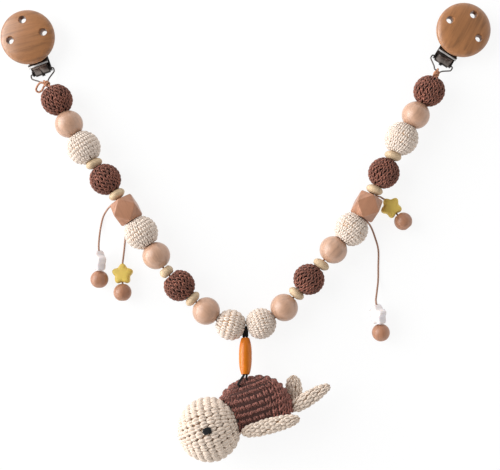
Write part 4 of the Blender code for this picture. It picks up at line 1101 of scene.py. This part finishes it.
def disc_outline():
    """Half section of the domed disc: flat below, rounded at the edge, domed above."""
    power, shoulder = 2.0 / DISC_FULLNESS, DISC_BOTTOM + DISC_EDGE
    outline = [(0.0, shoulder + DISC_DOME)]
    for step in range(1, 21):
        angle = math.radians(90.0 - 4.5 * step)
        outline.append((DISC_RADIUS * math.cos(angle) ** power,
                        shoulder + DISC_DOME * max(0.0, math.sin(angle)) ** power))
    for step in range(1, 7):
        angle = math.radians(15.0 * step)
        outline.append((DISC_RADIUS - DISC_EDGE * (1.0 - math.cos(angle)),
                        DISC_BOTTOM + DISC_EDGE * (1.0 - math.sin(angle))))
    return outline + [(0.0, DISC_BOTTOM)]


class PRAM_OT_clips(bpy.types.Operator):
    """Makes the domed beech discs, the pressed steel clips, their jaw pads and the wire bails"""
    bl_idname = "pram.clips"
    bl_label = "Clips"

    def execute(self, context):
        sizes = context.scene.pram_sizes
        for number, side in enumerate(SIDES):
            place = clip_place(side)
            self.make_disc(side, place, number + 3)
            for part in ("base", "lever"):
                pressed = copy_of(f"{side}_clip_{part}", f"{side}_pressed_{part}")
                bevelled(pressed, sizes.sheet_edge, 2, 30.0)
                # The pressed steel gets the plain plating, then a near-white and a paler copy of it as painted
                # highlights
                finished(pressed, *(MATERIALS[plating + "_nickel_steel"] for plating in ("dark", "worn", "grey")))
                self.paint_highlights(pressed, place)
                attach(pressed, "clip_steel", f"{side}_{part}", f"{side}_clip_{part}")
            pad = copy_of(f"{side}_clip_jaw_pad", f"{side}_moulded_pad")
            bevelled(pad, sizes.pad_edge, 2, 30.0)
            finished(pad, MATERIALS["white_abs_pad"])
            attach(pad, "jaw_plastic", f"{side}_base", f"{side}_clip_jaw_pad")
            wire = HALF_BAIL + tuple((x, -y, z) for x, y, z in HALF_BAIL[-2::-1])
            path = smooth_path([place @ point for point in metres(wire)], 0.5 * MM)
            bail = cord_piece(f"{side}_wire_bail", path, sizes.wire, "dark_steel_wire")
            attach(bail, "clip_steel", f"{side}_bail", f"{side}_clip_bail")
        return {"FINISHED"}

    def make_disc(self, side, place, seed):
        """A domed disc with three vents, each slightly tapered and countersunk at the top."""
        disc = spun(f"{side}_beech_disc", disc_outline(), 96, MATERIALS["oiled_beech_disc"])
        for vent_turn in VENT_TURNS[side]:
            drill = spun("vent_drill", VENT_DRILL, 40)
            set_down(drill, Matrix.Translation(turned(vent_turn, "Z") @ Vector((VENT_CIRCLE * MM, 0.0, 0.0))))
            drilled(disc, drill)
        set_down(disc, place)
        smoothed(disc, 40.0)
        keep_grain(disc, Matrix.Translation(place.translation) @ turned(DISC_GRAIN[side], "Z"), seed)
        attach(disc, "oiled_beech", f"{side}_lever", f"{side}_clip_disc")

    def paint_highlights(self, pressed, place):
        """A strip of the flange, cut at its edges, is painted near-white as a painted highlight, and the pressed
        panels are painted paler as a painted highlight against the darker plating.
        """
        for edge in HIGHLIT_STRIP:
            edited(pressed, bpy.ops.mesh.bisect, plane_co=place @ Vector((edge * MM, 0.0, 0.0)),
                   plane_no=place.to_3x3() @ Vector((1.0, 0.0, 0.0)))
        inverse = place.inverted()
        turn = inverse.to_3x3()
        for face in pressed.data.polygons:
            centre, normal = inverse @ face.center / MM, turn @ face.normal
            # The flange strip's upward faces: near-white, a painted highlight
            if centre.z > FLANGE_HEIGHT and HIGHLIT_STRIP[0] < centre.x < HIGHLIT_STRIP[1] and normal.z > 0.9:
                face.material_index = 1
            # The panels' forward faces: the paler steel, a painted highlight
            elif (normal.x > 0.4 and centre.x > PANEL_START
                  and PANEL_AREA[0] < face.area / MM ** 2 < PANEL_AREA[1]):
                face.material_index = 2


class PRAM_OT_long_bead(bpy.types.Operator):
    """Turns and lacquers the long amber bead, with a fine turned line round its middle"""
    bl_idname = "pram.long_bead"
    bl_label = "Long amber bead"

    def execute(self, context):
        place = joint_frame("long_bead_spin")
        outline = bead_outline(*BEAD_SIZES["long_amber_bead"], arcs=40, fullness=2.3, lip=0.35)
        middle = len(outline) // 2
        outline[middle] = (outline[middle][0] - TURNED_LINE, outline[middle][1])
        bead = spun("lacquered_long_bead", outline, 56, MATERIALS["amber_lacquer"])
        set_down(bead, place)
        keep_grain(bead, place @ turned(90.0, "Y"), 5)
        attach(bead, "amber_lacquer", "long_bead", "long_amber_bead")
        return {"FINISHED"}


def in_shell(point, grow=0.0):
    """Whether a point in the turtle's frame lies inside the shell."""
    point = (point[0], point[1], point[2] + SHELL_DROP * MM)
    height = SHELL_SIZE[1] if point[1] > 0.0 else BELLY_BULGE
    size = ((SHELL_SIZE[0] + grow) * MM, (height + grow) * MM, (SHELL_SIZE[2] + grow) * MM)
    return sum(abs(c / s) ** SHELL_FULLNESS for c, s in zip(point, size)) < 1.0


def in_head(point, grow=0.0):
    return (Vector(point) - Vector(HEAD_CENTRE) * MM).length < (HEAD_RADIUS + grow) * MM


class PRAM_OT_turtle(bpy.types.Operator):
    """Crochets the turtle's shell, head and flippers and sews on its eyes"""
    bl_idname = "pram.turtle"
    bl_label = "Turtle"

    def execute(self, context):
        sizes = context.scene.pram_sizes
        thickness = 0.47 * sizes.toy_stitch
        self.make_shell(sizes, thickness, STITCH_SINK * thickness)
        self.make_head(sizes, thickness, STITCH_SINK * thickness)
        for number, name in enumerate(FLIPPERS):
            self.make_flipper(sizes, name, number)
        self.make_eyes()
        return {"FINISHED"}

    def settle(self, piece, node, slot, place):
        set_down(piece, place)
        attach(piece, slot, "turtle", node)

    def before_head(self, point):
        """Whether a stitch of the shell lies clear of the head."""
        return not in_head((point[0], point[1], point[2] - SHELL_DROP * MM), -0.6)

    def make_shell(self, sizes, thickness, sink):
        width, row = 0.98 * sizes.toy_stitch, sizes.toy_row
        stitch = stitch_mesh(width, 0.95 * row, 1.15 * thickness, SLANTED_PUFFS, 0.55)
        size = [s * MM - sink for s in SHELL_SIZE]
        dome = dome_surface(size, SHELL_FULLNESS, True)
        belly = dome_surface((size[0], 0.3 * MM, size[2]), SHELL_FULLNESS, False)
        shell, under = (finished(crochet(name, shape, stitch, width, row, 0.5, seed, self.before_head),
                                 MATERIALS["shell_cotton_yarn"])
                        for name, shape, seed in (("crocheted_shell", dome, 21), ("belly_rounds", belly, 22)))
        inner = copy_of("turtle_shell", "shell_lining")
        set_down(inner, SHELL_PLACE.inverted())
        middle = Vector((0.0, 0.45 * SHELL_SIZE[1] * MM, 0.0))
        for vertex in inner.data.vertices:
            vertex.co = middle + (vertex.co - middle) * 0.925
        finished(inner, MATERIALS["shell_ground"])
        joined(shell, under, inner)
        self.settle(shell, "turtle_shell", "brown_cotton", SHELL_PLACE)

    def make_head(self, sizes, thickness, sink):
        width, row = sizes.toy_stitch, sizes.toy_row
        shape = ball_surface(HEAD_RADIUS * MM - sink, 0.05)
        stitch = stitch_mesh(width, 0.95 * row, 1.12 * thickness, PUFFED_LEGS, 0.5)
        head = crochet("crocheted_head", shape, stitch, width, row, 0.2, 31)
        inner = lining("head_lining", shape[0], 0.3 * MM)
        finished(head, MATERIALS["turtle_cotton_yarn"])
        finished(inner, MATERIALS["turtle_ground"])
        joined(head, inner)
        self.settle(head, "turtle_head", "cream_cotton",
                    TURTLE_PLACE @ Matrix.Translation(Vector(HEAD_CENTRE) * MM) @ turned(-90.0, "Y"))

    def make_flipper(self, sizes, name, number):
        ends, half_width, half_thickness, tip_share = FLIPPERS[name][:2], *FLIPPERS[name][2:]
        base, tip = metres(ends)
        width, row = 0.9 * sizes.toy_stitch, 0.85 * sizes.toy_row
        thickness = 0.45 * width
        own = Matrix.Translation(base) @ (tip - base).to_track_quat("X", "Z").to_matrix().to_4x4()
        shape = flipper_surface((tip - base).length, 1.13 * half_width * MM, 1.1 * half_thickness * MM, tip_share,
                                STITCH_SINK * thickness)
        stitch = stitch_mesh(width, row, thickness, PUFFED_LEGS)

        def shows(point):
            spot = own @ Vector(point)
            return not in_shell(spot, -1.2) and not in_head(spot, -0.6)
        flipper = crochet("crocheted_" + name, shape, stitch, width, row, 0.3, 41 + number, shows)
        finished(flipper, MATERIALS["turtle_cotton_yarn"])
        inner = copy_of(name, name + "_lining")
        set_down(inner, (TURTLE_PLACE @ own).inverted())
        for vertex in inner.data.vertices:
            vertex.co = Vector((vertex.co.x, vertex.co.y * 0.76, vertex.co.z * 0.62))
        finished(inner, MATERIALS["turtle_ground"])
        joined(flipper, inner)
        self.settle(flipper, name, "cream_cotton", TURTLE_PLACE @ own)

    def make_eyes(self):
        """Each eye is five strands of black yarn laid side by side over the stitch."""
        black = "black_waxed_cord"
        laid = []
        for way in (-1, 1):
            for row in range(-2, 3):
                across = row * 0.8
                half = EYE_REACH[0] * math.sqrt(1.0 - (across / EYE_REACH[1]) ** 2)
                points, shares = [], []
                for step in range(13):
                    angle = math.radians(180.0 * step / 12)
                    rise = EYE_SPOT[2] - 0.35 + 0.75 * math.sin(angle) ** 0.7
                    points.append(Vector((-half * math.cos(angle), across, way * rise)) * MM)
                    shares.append(0.45 + 0.55 * math.sin(angle) ** 0.5)
                laid.append(cord_piece(f"eye_strand_{way}_{row}", points, 1.0 * MM, black, shares))
        thread = cord_piece("eye_thread", metres(((0.0, 0.0, -19.4), (0.0, 0.0, 19.4))), 1.2 * MM, black)
        eyes = joined(thread, *laid)
        eyes.name = "black_yarn_eyes"
        centre = Vector(HEAD_CENTRE) + Vector((*EYE_SPOT[:2], 0.0))
        self.settle(eyes, "turtle_eyes", "black_yarn", TURTLE_PLACE @ Matrix.Translation(centre * MM))


class PRAM_OT_stage(bpy.types.Operator):
    """Lays the white table and sets the soft window light"""
    bl_idname = "pram.stage"
    bl_label = "Stage"

    def execute(self, context):
        stage = context.scene.pram_stage
        bpy.ops.object.select_all(action="DESELECT")
        bpy.ops.mesh.primitive_plane_add(size=6.0, location=(0.0, 0.0, 0.0))
        table = context.object
        table.name = "white_table"
        self.table_material()
        finished(table, MATERIALS["matt_white_card"])
        bpy.ops.object.light_add(type="AREA", location=WINDOW_PLACE)
        window = context.object
        window.name = "window_light"
        window.data.shape = "RECTANGLE"
        window.data.size = window.data.size_y = WINDOW_SIZE
        window.data.energy = stage.key_power
        window.rotation_euler = (-window.location).to_track_quat("-Z", "Y").to_euler()
        self.make_room(context, stage.sky)
        context.scene.view_settings.view_transform = "Standard"
        return {"FINISHED"}

    def table_material(self):
        """Matt white card, part of it white by itself so that only real shadows show."""
        tree = new_material("matt_white_card")
        rays = add_node(tree, "ShaderNodeLightPath")
        card = add_node(tree, "ShaderNodeBsdfPrincipled", Base_Color=(0.80, 0.80, 0.80, 1.0), Roughness=0.9)
        glow = add_node(tree, "ShaderNodeEmission", Color=WHITE, Strength=1.06)
        share = calculated(tree, "MULTIPLY_ADD", {0: rays.outputs["Is Camera Ray"]}, s1=0.20, s2=0.62)
        output(tree, mixed(tree, share, card, glow))

    def make_room(self, context, sky):
        """A white room, its walls brighter than its ceiling and brightest at the left."""
        world = bpy.data.worlds.new("white_room")
        context.scene.world = world
        world.use_nodes = True
        tree = world.node_tree
        tree.nodes.clear()
        rays = add_node(tree, "ShaderNodeLightPath")
        way = add_node(tree, "ShaderNodeTexCoord")
        parts = add_node(tree, "ShaderNodeSeparateXYZ", links={0: way.outputs["Generated"]})
        low = calculated(tree, "SUBTRACT", {1: parts.outputs["Z"]}, True, s0=1.0)
        falling = calculated(tree, "POWER", {0: low}, s1=2.0)
        walls = calculated(tree, "MULTIPLY_ADD", {0: falling}, s1=WALL_SHARE * sky, s2=CEILING_SHARE * sky)
        left = calculated(tree, "MULTIPLY", {0: parts.outputs["X"]}, True, s1=-1.0)
        lobe = calculated(tree, "POWER", {0: left}, s1=6.0)
        strength = calculated(tree, "MULTIPLY_ADD", {0: lobe, 2: walls}, s1=LEFT_SHARE * sky)
        room = add_node(tree, "ShaderNodeBackground", links={"Strength": strength}, Color=WHITE)
        seen = add_node(tree, "ShaderNodeBackground", Color=WHITE, Strength=1.0)
        output(tree, mixed(tree, rays.outputs["Is Camera Ray"], room, seen), "World")


class PRAM_PT_panel(bpy.types.Panel):
    """Sizes, colours and pieces of the pram chain"""
    bl_idname = "PRAM_PT_panel"
    bl_label = "Pram Chain"
    bl_space_type = "VIEW_3D"
    bl_region_type = "UI"
    bl_category = "Pram Chain"

    def draw(self, context):
        scene = context.scene
        for group in (scene.pram_sizes, scene.pram_colours, scene.pram_stage):
            box = self.layout.box()
            for name in group.bl_rna.properties.keys():
                if name not in ("rna_type", "name"):
                    box.prop(group, name)
        for operator in OPERATORS:
            self.layout.operator(operator.bl_idname)


GROUPS = {"pram_sizes": PramChainSizes, "pram_colours": PramChainColours, "pram_stage": PramChainStage}
OPERATORS = (PRAM_OT_camera, PRAM_OT_side_pendants, PRAM_OT_black_cord, PRAM_OT_string, PRAM_OT_crocheted_balls,
             PRAM_OT_wooden_beads, PRAM_OT_clips, PRAM_OT_long_bead, PRAM_OT_turtle, PRAM_OT_stage)


def register():
    for name, group in GROUPS.items():
        bpy.utils.register_class(group)
        setattr(bpy.types.Scene, name, bpy.props.PointerProperty(type=group))
    for operator in OPERATORS:
        bpy.utils.register_class(operator)
    bpy.utils.register_class(PRAM_PT_panel)


def unregister():
    bpy.utils.unregister_class(PRAM_PT_panel)
    for operator in reversed(OPERATORS):
        bpy.utils.unregister_class(operator)
    for name, group in reversed(GROUPS.items()):
        delattr(bpy.types.Scene, name)
        bpy.utils.unregister_class(group)


def main():
    register()
    make_materials(bpy.context.scene.pram_colours)
    bpy.ops.pram.camera()
    bpy.ops.pram.side_pendants()
    bpy.ops.pram.black_cord()
    bpy.ops.pram.string()
    bpy.ops.pram.crocheted_balls()
    bpy.ops.pram.wooden_beads()
    bpy.ops.pram.clips()
    bpy.ops.pram.long_bead()
    bpy.ops.pram.turtle()
    bpy.ops.pram.stage()


if __name__ == "__main__":
    main()
